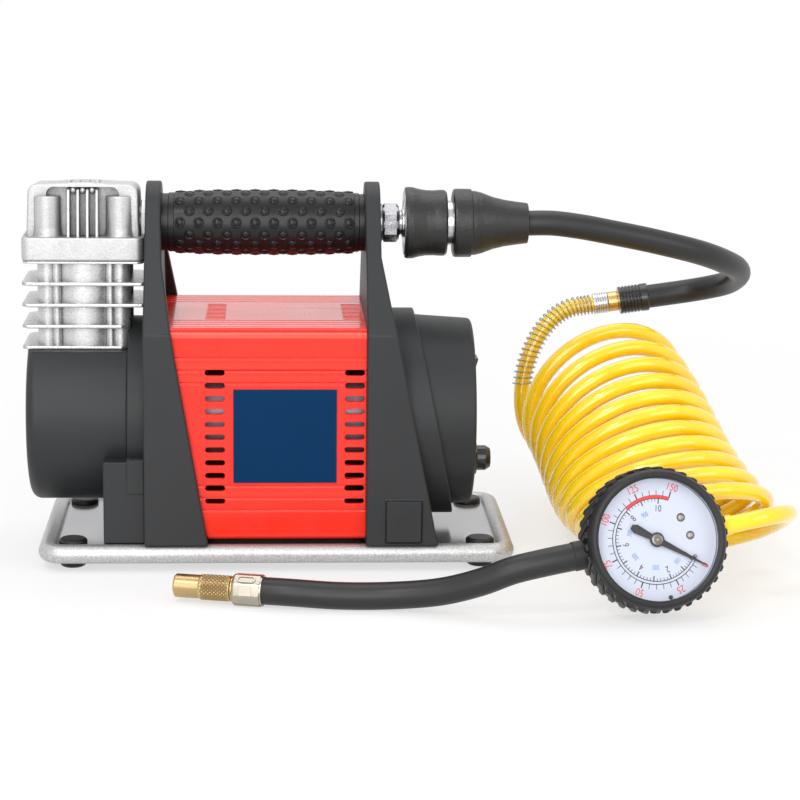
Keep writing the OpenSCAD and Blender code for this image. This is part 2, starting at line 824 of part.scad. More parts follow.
module sleeve_cover() {
    x = sleeve_x + 0.8;
    color([0.1, 0.1, 0.1]) on_handle_axis() difference() {
        rotate([0, 90, 0]) rotate_extrude()
            polygon([[14.5, x], [17.6, x], [17.95, x + 0.6], [17.95, x + 2.4],
                [16.5, x + 5.5], [16.3, x + 10], [16.4, x + 14], [16.7, x + 18.5],
                [16.2, x + 20.8], [neck_d / 2 + 0.6, x + 20.8],
                [neck_d / 2 + 0.6, x + 19.8], [14.5, x + 19.8]]);
        for (a = [0 : 20 : 340])
            rotate([a, 0, 0]) translate([x + 6, -0.8, 16]) cube([11, 1.6, 3]);
    }
}

module coupler_plug() {
    x = out_x + 33.9;
    color("silver") on_handle_axis() difference() {
        union() {
            bar(x - 13, 14, 6);
            bar(x, boot_x + 2.2 - x, neck_d / 2);
            bar(boot_x + 1.2, 32, 4.2);
        }
        bar(x - 14, 60, 2.6);
    }
}

module hose_boot() {
    color([0.08, 0.08, 0.08]) on_handle_axis() rotate([0, 90, 0]) rotate_extrude()
        polygon([[neck_d / 2, boot_x], [16.6, boot_x], [17.2, boot_x + 0.8],
            [17.2, boot_x + 10.6], [16.6, boot_x + 11.5], [14.6, boot_x + 16],
            [12.9, boot_x + 21], [11.6, boot_x + 27], [10.6, boot_x + 33], [10.1, hose_x - 1],
            [9.6, hose_x], [4.2, hose_x], [4.2, boot_x + 2.2], [neck_d / 2, boot_x + 2.2]]);
}

function unit(v) = v / norm(v);
function along(p, i) = unit(p[min(i + 1, len(p) - 1)] - p[max(i - 1, 0)]);
function square_to(u, t) = unit(u - (u * t) * t);

// A vector across the path at each of its points, carried on without twist.
function carried(p) = [
    for (i = 0, u = square_to([0.1, 0.2, 1], along(p, 0)); i < len(p);
        i = i + 1, u = square_to(u, along(p, min(i, len(p) - 1)))) u
];

// Round tube on a path, closed at both ends.
module tube(p, r, n) {
    up = carried(p);
    last = (len(p) - 1) * n;
    pts = [
        for (i = [0 : len(p) - 1])
            let (side = cross(along(p, i), up[i]))
            for (k = [0 : n - 1])
                p[i] + r * (cos(360 * k / n) * up[i] + sin(360 * k / n) * side)
    ];
    wall = [
        for (i = [0 : len(p) - 2], k = [0 : n - 1], half = [0, 1])
            let (a = i * n + k, b = i * n + (k + 1) % n)
            half == 0 ? [a, b + n, b] : [a, a + n, b + n]
    ];
    ends = [
        for (k = [1 : n - 2], half = [0, 1])
            half == 0 ? [0, k, k + 1] : [last, last + k + 1, last + k]
    ];
    polyhedron(points = pts, faces = concat(wall, ends));
}

module lead_hose() {
    color([0.1, 0.1, 0.1]) tube(lead_route, hose_d / 2, 12);
}

// Puts local +Z on the line on which the two hoses are joined.
module on_clamp_line(s) {
    translate(clamp_at + s * clamp_dir) rotate([0, 0, 180])
        rotate([0, 90 + atan2(-clamp_dir[2], -clamp_dir[0]), 0]) children();
}

module hose_clamp() {
    r = hose_d / 2 + 0.9;
    color([0.06, 0.06, 0.06]) on_clamp_line(0) rotate_extrude() difference() {
        square([r, 16]);
        for (k = [0 : 5]) translate([r, 2.2 + k * 2.2]) circle(0.55);
    }
}

module hose_joiner() {
    color([0.8, 0.6, 0.25]) on_clamp_line(16) difference() {
        cylinder(h = 6.5, r = 5.4);
        translate([0, 0, -1]) cylinder(h = 9, r = 2.5);
    }
}

module guard_ferrule() {
    color("silver") on_clamp_line(22.5) rotate_extrude() difference() {
        translate([2.5, 0]) square([3.2, 7.8]);
        for (k = [0 : 4]) translate([5.7, 1.4 + k * 1.25]) circle(0.3);
    }
}

// ---- Coiled hose ------------------------------------------------------------

function blend(c, s) = c[0] * pow(1 - s, 3) + 3 * c[1] * s * pow(1 - s, 2)
    + 3 * c[2] * s * s * (1 - s) + c[3] * pow(s, 3);

function coil_point(t) = let (
        s = t / coil_turns,
        a = blend(coil_back, s),
        b = blend(coil_side, s),
        th = 360 * t + coil_start
    )
    blend(coil_mid, s)
        + coil_r * cos(th) * [cos(b), 0, sin(b)]
        + coil_r * sin(th) * [sin(b) * sin(a), cos(a), -cos(b) * sin(a)];

function gauge_x() = [cos(gauge_turn), sin(gauge_turn), 0];
function gauge_z() = [cos(gauge_tilt) * sin(gauge_turn),
    -cos(gauge_tilt) * cos(gauge_turn), sin(gauge_tilt)];
function gauge_y() = cross(gauge_z(), gauge_x());
function gauge_dir(a) = cos(a) * gauge_x() + sin(a) * gauge_y();
function port_end(a) = gauge_at + (boot_d / 2 + 5) * gauge_dir(a) - 14 * gauge_z();

coil_a = coil_point(0);
coil_b = coil_point(coil_turns);
coil_a_dir = unit(coil_point(0.01) - coil_a);
coil_b_dir = unit(coil_b - coil_point(coil_turns - 0.01));
near_end = port_end(coil_port);
far_end = clamp_at + 30.3 * clamp_dir;
near_dir = gauge_dir(coil_port);
near_lead = [near_end + coil_d * near_dir, near_end + 28 * near_dir, coil_a - 30 * coil_a_dir,
    coil_a];
far_lead = [coil_b, coil_b + 28 * coil_b_dir, far_end + 36 * clamp_dir,
    far_end + coil_d * clamp_dir];
near_path = concat([near_end], [for (k = [0 : 7]) blend(near_lead, k / 8)]);
coil_path = [for (k = [0 : floor(coil_turns * 24)]) coil_point(k / 24)];
far_path = concat([for (k = [1 : 14]) blend(far_lead, k / 14)], [far_end]);
coil_line = concat(near_path, coil_path, far_path);

coil_gap = min([
    for (i = [0 : 2 : len(coil_line) - 14], j = [i + 12 : len(coil_line) - 1])
        norm(coil_line[i] - coil_line[j])
]) - coil_d;

module coil_hose() {
    echo(least_gap_between_turns = coil_gap);
    color("gold") tube(coil_line, coil_d / 2, 6);
}

// The guard winds round the last part of the coiled hose, from its ferrule.
guard_r = (guard_d - guard_wire) / 2;
guard_rings = guard_curls * 8;
function guard_mid(k) = k < 16
    ? far_end + (0.6 + (coil_d - 0.6) * k / 16) * clamp_dir
    : blend(far_lead, 1 - 0.8 * (k - 16) / (guard_rings - 16));
guard_path = [
    for (k = [0 : guard_rings])
        let (
            t = unit(guard_mid(k + 0.1) - guard_mid(k)),
            u = square_to([0, 1, 0.1], t),
            v = cross(t, u)
        )
        guard_mid(k) + guard_r * (cos(45 * k) * u + sin(45 * k) * v)
];

module spring_guard() {
    echo(guard_gap = norm(guard_path[20] - guard_path[28]) - guard_wire);
    color("silver") tube(guard_path, guard_wire / 2, 6);
}

// ---- Gauge ------------------------------------------------------------------

// Local +Z looks out of the dial and local +Y up its face.
module on_gauge() {
    translate(gauge_at) rotate([90 - gauge_tilt, 0, gauge_turn]) children();
}

module at_port(a) {
    on_gauge() translate([0, 0, -14]) rotate([0, 0, a]) rotate([0, 90, 0]) children();
}

module gauge_boot() {
    r = boot_d / 2;
    inner = dial_d / 2 + 1.4;
    color([0.1, 0.1, 0.1]) difference() {
        on_gauge() {
            rotate_extrude() polygon([[inner - 1.9, 0], [r - 3.4, 0], [r - 1.8, -1.2],
                [r - 1, -3], [r - 1, -boot_h + 1.5], [r - 2.5, -boot_h], [0, -boot_h],
                [0, -boot_h + 2.5], [inner, -boot_h + 2.5], [inner, -1.6], [inner - 1.9, -1.6]]);
            for (a = [0 : 10 : 350])
                rotate([0, 0, a]) translate([r - 2, 0, -boot_h / 2 - 1]) rotate([24, 0, 0])
                    translate([0, -1.6, -boot_h / 2 + 3.6])
                        cube([2.4, 3.2, boot_h - 7.2]);
        }
        at_port(whip_port) translate([0, 0, 20]) cylinder(h = 30, r = 6.5);
        at_port(coil_port) translate([0, 0, 20]) cylinder(h = 30, r = 5.2);
    }
}

module gauge_case() {
    r = dial_d / 2 + 1.4;
    color("silver") difference() {
        on_gauge() translate([0, 0, -boot_h + 2.5]) difference() {
            cylinder(h = boot_h - 5.7, r = r);
            translate([0, 0, 1.2]) cylinder(h = boot_h, r = r - 1.2);
        }
        at_port(whip_port) translate([0, 0, 20]) cylinder(h = 30, r = 6.5);
        at_port(coil_port) translate([0, 0, 20]) cylinder(h = 30, r = 5.2);
    }
}

module gauge_movement() {
    z = -boot_h + 3.7;
    color([0.8, 0.6, 0.25]) on_gauge() difference() {
        union() {
            translate([-8, -8, z]) cube([16, 16, 7]);
            translate([-2.5, -2.5, z]) cube([5, 5, boot_h - 10.6]);
            translate([0, 0, z]) rotate([0, 0, 20]) rotate_extrude(angle = 250)
                translate([17.5, 1]) square([2, 5]);
            rotate([0, 0, 20]) translate([6, -2.5, z]) cube([13, 5, 5]);
        }
        translate([0, 0, z - 1]) cylinder(h = 40, r = 0.8);
    }
}

module gauge_dial() {
    color("white") on_gauge() translate([0, 0, -6.9]) difference() {
        cylinder(h = 0.8, r = dial_d / 2 + 0.2);
        translate([0, 0, -1]) cylinder(h = 3, r = 0.8);
    }
}

module gauge_needle() {
    color("black") on_gauge() rotate([0, 0, -28]) {
        translate([0, 0, -12]) cylinder(h = 7, r = 0.8 - run_gap);
        translate([0, 0, -5.6]) cylinder(h = 1.8, r = 3.3);
        translate([0, 0, -5.1]) linear_extrude(0.7)
            polygon([[-13.2, -1.1], [-11.4, -1.8], [-3, -1.2], [3, -1.2], [26.4, -0.2],
                [26.4, 0.2], [3, 1.2], [-3, 1.2], [-11.4, 1.8], [-13.2, 1.1]]);
    }
}

module gauge_lens() {
    color([0.9, 0.95, 1, 0.3]) on_gauge() translate([0, 0, -3.2])
        cylinder(h = 1.6, r = dial_d / 2 + 1.4);
}

module whip_port_stem() {
    color([0.8, 0.6, 0.25]) at_port(whip_port) difference() {
        translate([0, 0, 27]) cylinder(h = boot_d / 2 + 5 - 27, r = 6.5);
        translate([0, 0, 26]) cylinder(h = 40, r = 2.5);
    }
}

module coil_port_stem() {
    color([0.8, 0.6, 0.25]) at_port(coil_port) difference() {
        translate([0, 0, 27]) cylinder(h = boot_d / 2 + 5 - 27, r = 5.2);
        translate([0, 0, 26]) cylinder(h = 40, r = 1.8);
    }
}

// ---- Chuck ------------------------------------------------------------------

module whip_hose() {
    color([0.1, 0.1, 0.1]) tube(whip_route, whip_d / 2, 12);
}

// Local +Z points along the chuck, towards its mouth.
module on_chuck() {
    translate(chuck_at) rotate([0, 0, chuck_turn]) rotate([0, 90, 0]) children();
}

module chuck_ferrule() {
    color("silver") on_chuck() difference() {
        union() {
            cylinder(h = 1.2, r1 = 6.6, r2 = 7.6);
            translate([0, 0, 1.2]) cylinder(h = 12, r = 7.6);
            translate([0, 0, 13.2]) cylinder(h = 1.2, r1 = 7.6, r2 = 6.6);
        }
        translate([0, 0, -1]) cylinder(h = 30, r = stem_r);
        for (z = [4.4, 9.2])
            translate([0, 0, z]) rotate_extrude() translate([7.6, 0]) circle(0.45);
    }
}

module chuck_body() {
    color([0.8, 0.6, 0.25]) on_chuck() difference() {
        union() {
            cylinder(h = 30, r = stem_r);
            translate([0, 0, 14.4]) cylinder(h = 0.8, r = 6.2);
        }
        translate([0, 0, -1]) cylinder(h = 28, r = 1.5);
        translate([0, 0, 26]) cylinder(h = 6, r = seal_r);
    }
}

module chuck_collar() {
    r = collar_d / 2;
    color([0.8, 0.6, 0.25]) on_chuck() difference() {
        union() {
            translate([0, 0, 15.6]) cylinder(h = 14.4, r = r);
            translate([0, 0, 30]) cylinder(h = 2, r1 = r, r2 = 5.5);
            translate([0, 0, 32]) cylinder(h = 10, r = 5.5);
            translate([0, 0, 42]) cylinder(h = 1, r1 = 5.5, r2 = 4.9);
        }
        translate([0, 0, 15]) cylinder(h = 18, r = stem_r + run_gap);
        translate([0, 0, 32.9]) cylinder(h = 12, r = valve_bore / 2);
        for (a = [0 : 12 : 348])
            rotate([0, 0, a]) translate([r, 0, 16.6]) rotate([0, 0, 45])
                translate([-0.35, -0.35, 0]) cube([0.7, 0.7, 12.4]);
    }
}

module chuck_seal() {
    color([0.1, 0.1, 0.1]) on_chuck() difference() {
        translate([0, 0, 26]) cylinder(h = 5.2, r = seal_r);
        translate([0, 0, 25]) cylinder(h = 8, r = 1);
    }
}

base_plate();
rubber_feet();
plate_screws();
left_bracket();
right_bracket();
handle_tube();
handle_grip();
motor_cover();
label_plate();
motor_can();
motor_magnets();
motor_brushes();
front_bearing();
rear_bearing();
motor_rotor();
crankshaft();
cooling_fan();
motor_shroud();
motor_end_cap();
switch_bezel();
switch_rocker();
cable_gland();
crankcase();
crankcase_flange();
cylinder_barrel();
piston();
connecting_rod();
valve_plate();
cylinder_head();
head_screws();
air_joint();
outlet_nut();
coupler_body();
coupler_sleeve();
sleeve_cover();
coupler_plug();
hose_boot();
lead_hose();
hose_clamp();
hose_joiner();
guard_ferrule();
spring_guard();
coil_hose();
gauge_boot();
gauge_case();
gauge_movement();
gauge_dial();
gauge_needle();
gauge_lens();
coil_port_stem();
whip_port_stem();
whip_hose();
chuck_ferrule();
chuck_body();
chuck_collar();
chuck_seal();
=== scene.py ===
import bpy
import bmesh
import json
import math
from mathutils import Matrix, Vector


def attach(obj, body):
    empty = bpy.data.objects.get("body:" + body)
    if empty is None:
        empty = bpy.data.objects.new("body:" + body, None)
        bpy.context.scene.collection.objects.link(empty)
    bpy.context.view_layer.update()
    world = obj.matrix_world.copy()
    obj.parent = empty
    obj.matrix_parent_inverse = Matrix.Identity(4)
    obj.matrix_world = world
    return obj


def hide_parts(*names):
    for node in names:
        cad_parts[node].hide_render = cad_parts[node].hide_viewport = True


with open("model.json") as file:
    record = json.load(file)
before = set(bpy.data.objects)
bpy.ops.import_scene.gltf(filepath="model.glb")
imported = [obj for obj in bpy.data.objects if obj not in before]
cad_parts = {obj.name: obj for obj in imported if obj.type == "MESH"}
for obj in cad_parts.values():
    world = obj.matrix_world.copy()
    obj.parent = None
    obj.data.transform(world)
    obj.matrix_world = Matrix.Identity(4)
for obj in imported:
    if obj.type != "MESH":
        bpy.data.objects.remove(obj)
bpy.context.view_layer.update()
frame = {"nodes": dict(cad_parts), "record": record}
nodeBody = {node: body for body, nodes in frame["record"]["behaviour"]["bodies"].items() for node in nodes}
mm = 0.001


def moved(x, y, z):
    return Matrix.Translation((x, y, z))


def swung(degrees, axis):
    return Matrix.Rotation(math.radians(degrees), 4, axis)


# camera, lamps and floor

view = {"place": (-0.0005, -1.2325, 0.3305), "turn": 3.16, "down": 11.69, "roll": 0.636, "lens": 111.35}
lamps = [
    {"name": "frontLamp", "place": (-0.2, -1.7, 0.6), "size": 1.3, "watts": 17.0},
    {"name": "keyLamp", "place": (-0.45, -0.95, 1.25), "size": 0.28, "watts": 5.0},
    {"name": "fillLamp", "place": (1.15, -0.9, 0.6), "size": 0.8, "watts": 4.0},
    {"name": "topLamp", "place": (0.1, 0.4, 1.4), "size": 1.1, "watts": 6.0},
]
lampAim = Vector((0.05, 0, 0.08))
room = {"floorSize": 12.0, "floorTone": 0.9, "near": 0.62, "light": 0.62, "fadeFrom": 0.3, "fadeTo": 0.75}


def makeCamera(v):
    bpy.context.scene.view_settings.view_transform = "Standard"
    camera = bpy.data.objects.new("camera", bpy.data.cameras.new("camera"))
    bpy.context.scene.collection.objects.link(camera)
    aim = swung(-v["turn"], "Z") @ swung(90 - v["down"], "X") @ swung(v["roll"], "Z")
    camera.matrix_world = moved(*v["place"]) @ aim
    camera.data.lens = v["lens"]
    camera.data.sensor_width = 36
    camera.data.clip_end = 30
    bpy.context.scene.camera = camera


def makeLamps():
    for lamp in lamps:
        data = bpy.data.lights.new(lamp["name"], "AREA")
        data.size = lamp["size"]
        data.energy = lamp["watts"]
        item = bpy.data.objects.new(lamp["name"], data)
        item.location = lamp["place"]
        item.rotation_euler = (lampAim - item.location).to_track_quat("-Z", "Y").to_euler()
        bpy.context.scene.collection.objects.link(item)


# materials: a wire is one socket, a board holds the nodes that wires join, and a paint is one material


class Wire:
    def __init__(self, board, socket):
        self.board = board
        self.socket = socket

    def maths(self, kind, first, second):
        return self.board.node("ShaderNodeMath", {"operation": kind}, {0: first, 1: second})

    def __add__(self, other):
        return self.maths("ADD", self, other)

    def __mul__(self, other):
        return self.maths("MULTIPLY", self, other)

    def __sub__(self, other):
        return self.maths("SUBTRACT", self, other)

    def __rsub__(self, other):
        return self.maths("SUBTRACT", other, self)

    def __pow__(self, other):
        return self.maths("POWER", self, other)

    __radd__ = __add__
    __rmul__ = __mul__


class Board:
    def __init__(self, tree):
        self.tree = tree

    def feed(self, socket, value):
        if isinstance(value, Wire):
            self.tree.links.new(value.socket, socket)
        else:
            socket.default_value = value

    def node(self, kind, settings, inputs, out=0):
        item = self.tree.nodes.new(kind)
        for key, value in settings.items():
            setattr(item, key, value)
        for key, value in inputs.items():
            self.feed(item.inputs[key], value)
        return Wire(self, item.outputs[out])

    def ramp(self, value, low, high, fromTone=0.0, toTone=1.0):
        return self.node("ShaderNodeMapRange", {}, {"Value": value, "From Min": low, "From Max": high,
                                                    "To Min": fromTone, "To Max": toTone})

    def seenRays(self):
        # 1 for the camera and for what metal and glass show, 0 for light that falls on the object
        camera, glossy, through = (self.node("ShaderNodeLightPath", {}, {}, "Is " + kind + " Ray")
                                   for kind in ("Camera", "Glossy", "Transmission"))
        return self.ramp(camera + glossy + through, 0, 1)


class Paint(Board):
    def __init__(self, name, colour=(0.5, 0.5, 0.5), roughness=0.5, metallic=0.0, **fixed):
        self.material = bpy.data.materials.new(name)
        self.material.use_nodes = True
        super().__init__(self.material.node_tree)
        self.shader = self.tree.nodes["Principled BSDF"]
        self.set("Base Color", (*colour, 1))
        self.set("Roughness", roughness)
        self.set("Metallic", metallic)
        for key, value in fixed.items():
            self.set(key.replace("_", " "), value)
        self.place = self.node("ShaderNodeTexCoord", {}, {}, "Object")

    def set(self, name, value):
        self.feed(self.shader.inputs[name], value)

    def surface(self, share, first, second):
        # the material shows two shaders mixed
        mixed = self.node("ShaderNodeMixShader", {}, {0: share, 1: first, 2: second})
        self.feed(self.tree.nodes["Material Output"].inputs["Surface"], mixed)

    def noise(self, size, detail=3.0, rough=0.55, place=None):
        # size is a feature's width in millimetres
        return self.node("ShaderNodeTexNoise", {}, {"Vector": place or self.place, "Scale": 1000 / size,
                                                   "Detail": detail, "Roughness": rough})

    def stretched(self, across, along, axis=0):
        scale = [1 / across] * 3
        scale[axis] = 1 / along
        return self.node("ShaderNodeMapping", {}, {"Vector": self.place, "Scale": tuple(scale)})

    def part(self, axis):
        # one coordinate of the object, in millimetres
        return self.node("ShaderNodeSeparateXYZ", {}, {0: self.place}, axis) * 1000

    def band(self, value, low, high, soft=0.1):
        # 1 between two values and 0 outside them
        return self.ramp(value, low, low + soft) * self.ramp(value, high, high + soft, 1.0, 0.0)

    def hollowShade(self, reach):
        # painted shade from ambient occlusion: 1 in the open and less in corners
        return self.node("ShaderNodeAmbientOcclusion", {"samples": 4}, {"Distance": reach * mm}, 1)

    def valleyShade(self, low, high):
        # painted shade and highlight: 0 in sharp valleys and 1 on ridges
        return self.ramp(self.node("ShaderNodeNewGeometry", {}, {}, "Pointiness"), low, high)

    def mix(self, share, first, second):
        first, second = (tone if isinstance(tone, Wire) else (*tone, 1) for tone in (first, second))
        return self.node("ShaderNodeMix", {"data_type": "RGBA"}, {0: share, 6: first, 7: second}, 2)

    def bump(self, height, depth, strength=1.0):
        # depth in millimetres
        self.set("Normal", self.node("ShaderNodeBump", {}, {"Height": height, "Distance": depth * mm,
                                                            "Strength": strength}))


def tinted(colour, share):
    return tuple(min(1, c * share) for c in colour)


def castPaint(name, colour, roughness, grain=0.55, depth=0.05, metallic=0.86, reach=5, fall=1.0):
    p = Paint(name, colour, roughness, metallic)
    fine = p.noise(grain, 2, 0.6)
    wide = p.noise(9, 3)
    tone = p.ramp(fine * 0.75 + wide * 0.25, 0.3, 0.7)
    # painted shade: in hollows and corners the colour falls to the deep tone, and in the open it keeps the lit tone
    deep = p.mix(tone, tinted(colour, 0.3), tinted(colour, 0.42))
    lit = p.mix(tone, tinted(colour, 0.8), tinted(colour, 1.16))
    p.set("Base Color", p.mix(p.hollowShade(reach) ** fall, deep, lit))
    p.set("Roughness", p.ramp(p.noise(1.5), 0.3, 0.7, roughness - 0.07, roughness + 0.1))
    p.bump(fine, depth, 0.7)
    return p


def plasticPaint(name, colour, roughness, grain=0.7, depth=0.02, amount=0.1, **fixed):
    p = Paint(name, colour, roughness, 0, **fixed)
    fine = p.noise(grain, 2)
    wide = p.noise(22, 3)
    p.set("Base Color", p.mix(wide * 0.7 + fine * 0.3, tinted(colour, 1 - amount), tinted(colour, 1 + amount)))
    p.set("Roughness", p.ramp(fine * 0.5 + wide * 0.5, 0.35, 0.65, roughness - 0.05, roughness + 0.06))
    p.bump(fine, depth, 0.6)
    return p


def metalPaint(name, colour, roughness, across=0.4, along=8, axis=0, depth=0.008, shadeShare=0.45):
    p = Paint(name, colour, roughness, 1)
    lines = p.noise(1, 2, 0.6, p.stretched(across, along, axis))
    spots = p.noise(5, 3)
    lit = p.mix(lines * 0.6 + spots * 0.4, tinted(colour, 0.8), tinted(colour, 1.12))
    # painted shade: in corners the colour darkens to a share of itself
    p.set("Base Color", p.mix(p.hollowShade(2.5), tinted(colour, shadeShare), lit))
    p.set("Roughness", p.ramp(lines * 0.5 + spots * 0.5, 0.3, 0.7, roughness - 0.06, roughness + 0.1))
    p.bump(lines, depth, 0.6)
    return p


def redPaint():
    # enamel with a paler band under the top edge, as the folded sheet catches the light there
    p = Paint("redEnamel", (0.84, 0.026, 0.018), 0.34, 0, Specular_IOR_Level=0.2, Coat_Weight=0.8, Coat_IOR=1.28,
              Coat_Roughness=0.1)
    high, wide, fine = p.part(2), p.noise(26, 3), p.noise(0.9, 2)
    fold = p.band(high, 116.2, 118.9, 0.25)
    # painted highlight: three lighter bands along the cover, standing in for light on its shallow flutes
    fluteHighlights = p.band(high, 100.6, 103.2, 1.4) + p.band(high, 94.4, 97, 1.4) + p.band(high, 37, 39.6, 1.4)
    plain = p.mix(wide, (0.80, 0.020, 0.010), (0.88, 0.030, 0.014))
    lit = p.mix(fluteHighlights * 0.5, plain, (0.9, 0.045, 0.022))
    pale = p.mix(fold * 0.55, lit, (0.98, 0.14, 0.09))
    # painted shade: a thin darker line along the top edge, above the painted highlight band
    p.set("Base Color", p.mix(p.band(high, 119.1, 119.8, 0.1) * 0.6, pale, (0.45, 0.008, 0.012)))
    p.set("Roughness", p.ramp(wide * 0.6 + fine * 0.4, 0.35, 0.65, 0.25, 0.36))
    p.bump(fine, 0.01, 0.5)
    return p


def trayPaint():
    # sprayed grain on the rim, and a smoother floor inside it
    p = Paint("trayPaint", (0.6, 0.605, 0.615), 0.3, 0.72)
    inside = p.band(p.part(0) - 5, -108.2, 107.9, 0.3) * p.band(p.part(1), -48.9, 48.6, 0.3)
    grain, wide = p.noise(0.8, 2, 0.7), p.noise(30, 3)
    rim = p.mix(p.ramp(grain, 0.35, 0.65), (0.4, 0.4, 0.4), (0.63, 0.63, 0.63))
    bed = p.mix(wide, (0.36, 0.365, 0.375), (0.44, 0.445, 0.455))
    # painted shade: the tray turns dark grey in its corners and round the parts that stand on it
    p.set("Base Color", p.mix(p.hollowShade(6), (0.2, 0.2, 0.205), p.mix(inside, rim, bed)))
    p.set("Roughness", p.ramp(inside, 0, 1, 0.42, 0.13) + p.noise(12, 3) * 0.06)
    p.bump(grain * (1 - inside), 0.1, 0.8)
    return p


def knurlPaint():
    # brass with painted shade between the points of its pattern and a painted highlight on the points
    p = metalPaint("brassKnurl", (0.62, 0.42, 0.15), 0.26)
    p.set("Base Color", p.mix(p.valleyShade(0.44, 0.56), (0.14, 0.075, 0.025), (0.8, 0.6, 0.3)))
    return p


def tubePaint():
    # smooth, glossy plastic with a slightly deeper colour here and there
    p = Paint("yellowTube", (1.0, 0.66, 0.01), 0.1, 0, Coat_Weight=0.6, Coat_Roughness=0.03)
    wide = p.noise(24, 2)
    p.set("Base Color", p.mix(p.ramp(wide, 0.35, 0.65), (1.0, 0.61, 0.006), (1.0, 0.69, 0.014)))
    p.set("Roughness", p.ramp(wide, 0.35, 0.65, 0.08, 0.12))
    return p


def lensPaint():
    # clear, with a faint shine that grows towards the rim
    p = Paint("clearLens", (1, 1, 1), 0.02)
    clear = p.node("ShaderNodeBsdfTransparent", {}, {})
    shine = p.node("ShaderNodeBsdfGlossy", {}, {"Roughness": 0.03})
    facing = p.node("ShaderNodeLayerWeight", {}, {"Blend": 0.5}, "Facing")
    p.surface(facing ** 3 * 0.35 + 0.02, clear, shine)
    return p


def makePaints():
    paints = {}
    paints["blasted"] = castPaint("blastedAlloy", (0.53, 0.53, 0.53), 0.45, 0.75, 0.16, 0.7, 10, 1.0)
    paints["barrel"] = castPaint("barrelAlloy", (0.6, 0.6, 0.6), 0.3, 0.8, 0.03, 0.75, 3.5, 0.8)
    paints["tray"] = trayPaint()
    paints["charcoal"] = plasticPaint("charcoalNylon", (0.023, 0.024, 0.0255), 0.48, 0.6, 0.05, 0.2,
                                      Specular_IOR_Level=0.3)
    paints["red"] = redPaint()
    paints["rubber"] = plasticPaint("blackRubber", (0.014, 0.014, 0.0142), 0.45, 0.8, 0.03, Specular_IOR_Level=0.35)
    paints["leather"] = plasticPaint("grainedRubber", (0.0145, 0.014, 0.0138), 0.38, 1.7, 0.34, 0.3,
                                     Specular_IOR_Level=0.45)
    paints["grip"] = plasticPaint("gripRubber", (0.0085, 0.0085, 0.009), 0.3, 0.9, 0.012, Specular_IOR_Level=0.3)
    paints["hose"] = plasticPaint("hoseRubber", (0.015, 0.015, 0.0155), 0.4, 0.5, 0.02, Specular_IOR_Level=0.4)
    paints["gloss"] = plasticPaint("glossBlack", (0.01, 0.01, 0.011), 0.2, 3, 0.01, Coat_Weight=0.2)
    paints["steel"] = metalPaint("plainSteel", (0.5, 0.505, 0.52), 0.3)
    # painted shade and reflection: the motor can is darker and tinted purple, standing in for the shade and the red of
    # the cover round it
    paints["can"] = metalPaint("canShadeAndRedReflection", (0.3, 0.2, 0.235), 0.34)
    paints["bright"] = metalPaint("brightSteel", (0.66, 0.66, 0.675), 0.2)
    paints["mottled"] = castPaint("mottledSteel", (0.3, 0.3, 0.315), 0.2, 1.6, 0.1, 1.0)
    paints["wire"] = metalPaint("wireSteel", (0.42, 0.4, 0.37), 0.3)
    paints["brass"] = metalPaint("brass", (0.66, 0.45, 0.19), 0.24)
    paints["knurl"] = knurlPaint()
    paints["crimp"] = metalPaint("paleBrass", (0.46, 0.42, 0.345), 0.22, shadeShare=0.2)
    paints["copper"] = metalPaint("copperWire", (0.62, 0.3, 0.14), 0.35)
    paints["ferrite"] = plasticPaint("ferrite", (0.05, 0.05, 0.052), 0.6)
    paints["yellow"] = tubePaint()
    paints["dial"] = plasticPaint("dialWhite", (0.57, 0.61, 0.715), 0.5, 2, 0.004, 0.03, Specular_IOR_Level=0.2)
    paints["inkRed"] = plasticPaint("inkRed", (0.72, 0.025, 0.018), 0.5)
    paints["inkBlack"] = plasticPaint("inkBlack", (0.012, 0.012, 0.014), 0.5)
    paints["inkBlue"] = plasticPaint("inkBlue", (0.03, 0.22, 0.62), 0.5)
    paints["panel"] = plasticPaint("panelBlue", (0.001, 0.028, 0.088), 0.5, 3, 0.006, Specular_IOR_Level=0.06)
    paints["rocker"] = plasticPaint("rockerBlack", (0.02, 0.02, 0.021), 0.3)
    paints["lens"] = lensPaint()
    return paints


def makeRoom():
    # a pale floor that keeps the shadow near the object and fades to white further off
    paint = Paint("floorPaint", (room["floorTone"],) * 3, 0.9)
    away = paint.node("ShaderNodeVectorMath", {"operation": "LENGTH"}, {0: paint.place}, 1)
    lift = paint.ramp(away, room["fadeFrom"], room["fadeTo"], room["near"], 1.0)
    glow = paint.node("ShaderNodeEmission", {}, {"Color": (1, 1, 1, 1), "Strength": 1.0})
    paint.surface(paint.seenRays() * lift, Wire(paint, paint.shader.outputs[0]), glow)
    bm = bmesh.new()
    bmesh.ops.create_grid(bm, x_segments=1, y_segments=1, size=room["floorSize"] / 2)
    mesh = bpy.data.meshes.new("floor")
    bm.to_mesh(mesh)
    bm.free()
    mesh.materials.append(paint.material)
    floor = bpy.data.objects.new("floor", mesh)
    bpy.context.scene.collection.objects.link(floor)
    world = bpy.data.worlds.new("room")
    bpy.context.scene.world = world
    world.use_nodes = True
    sky = Board(world.node_tree)
    behind = sky.tree.nodes["Background"]
    sky.feed(behind.inputs["Color"], (1, 1, 1, 1))
    sky.feed(behind.inputs["Strength"], sky.ramp(sky.seenRays(), 0, 1, room["light"], 1.0))


# shapes, in millimetres


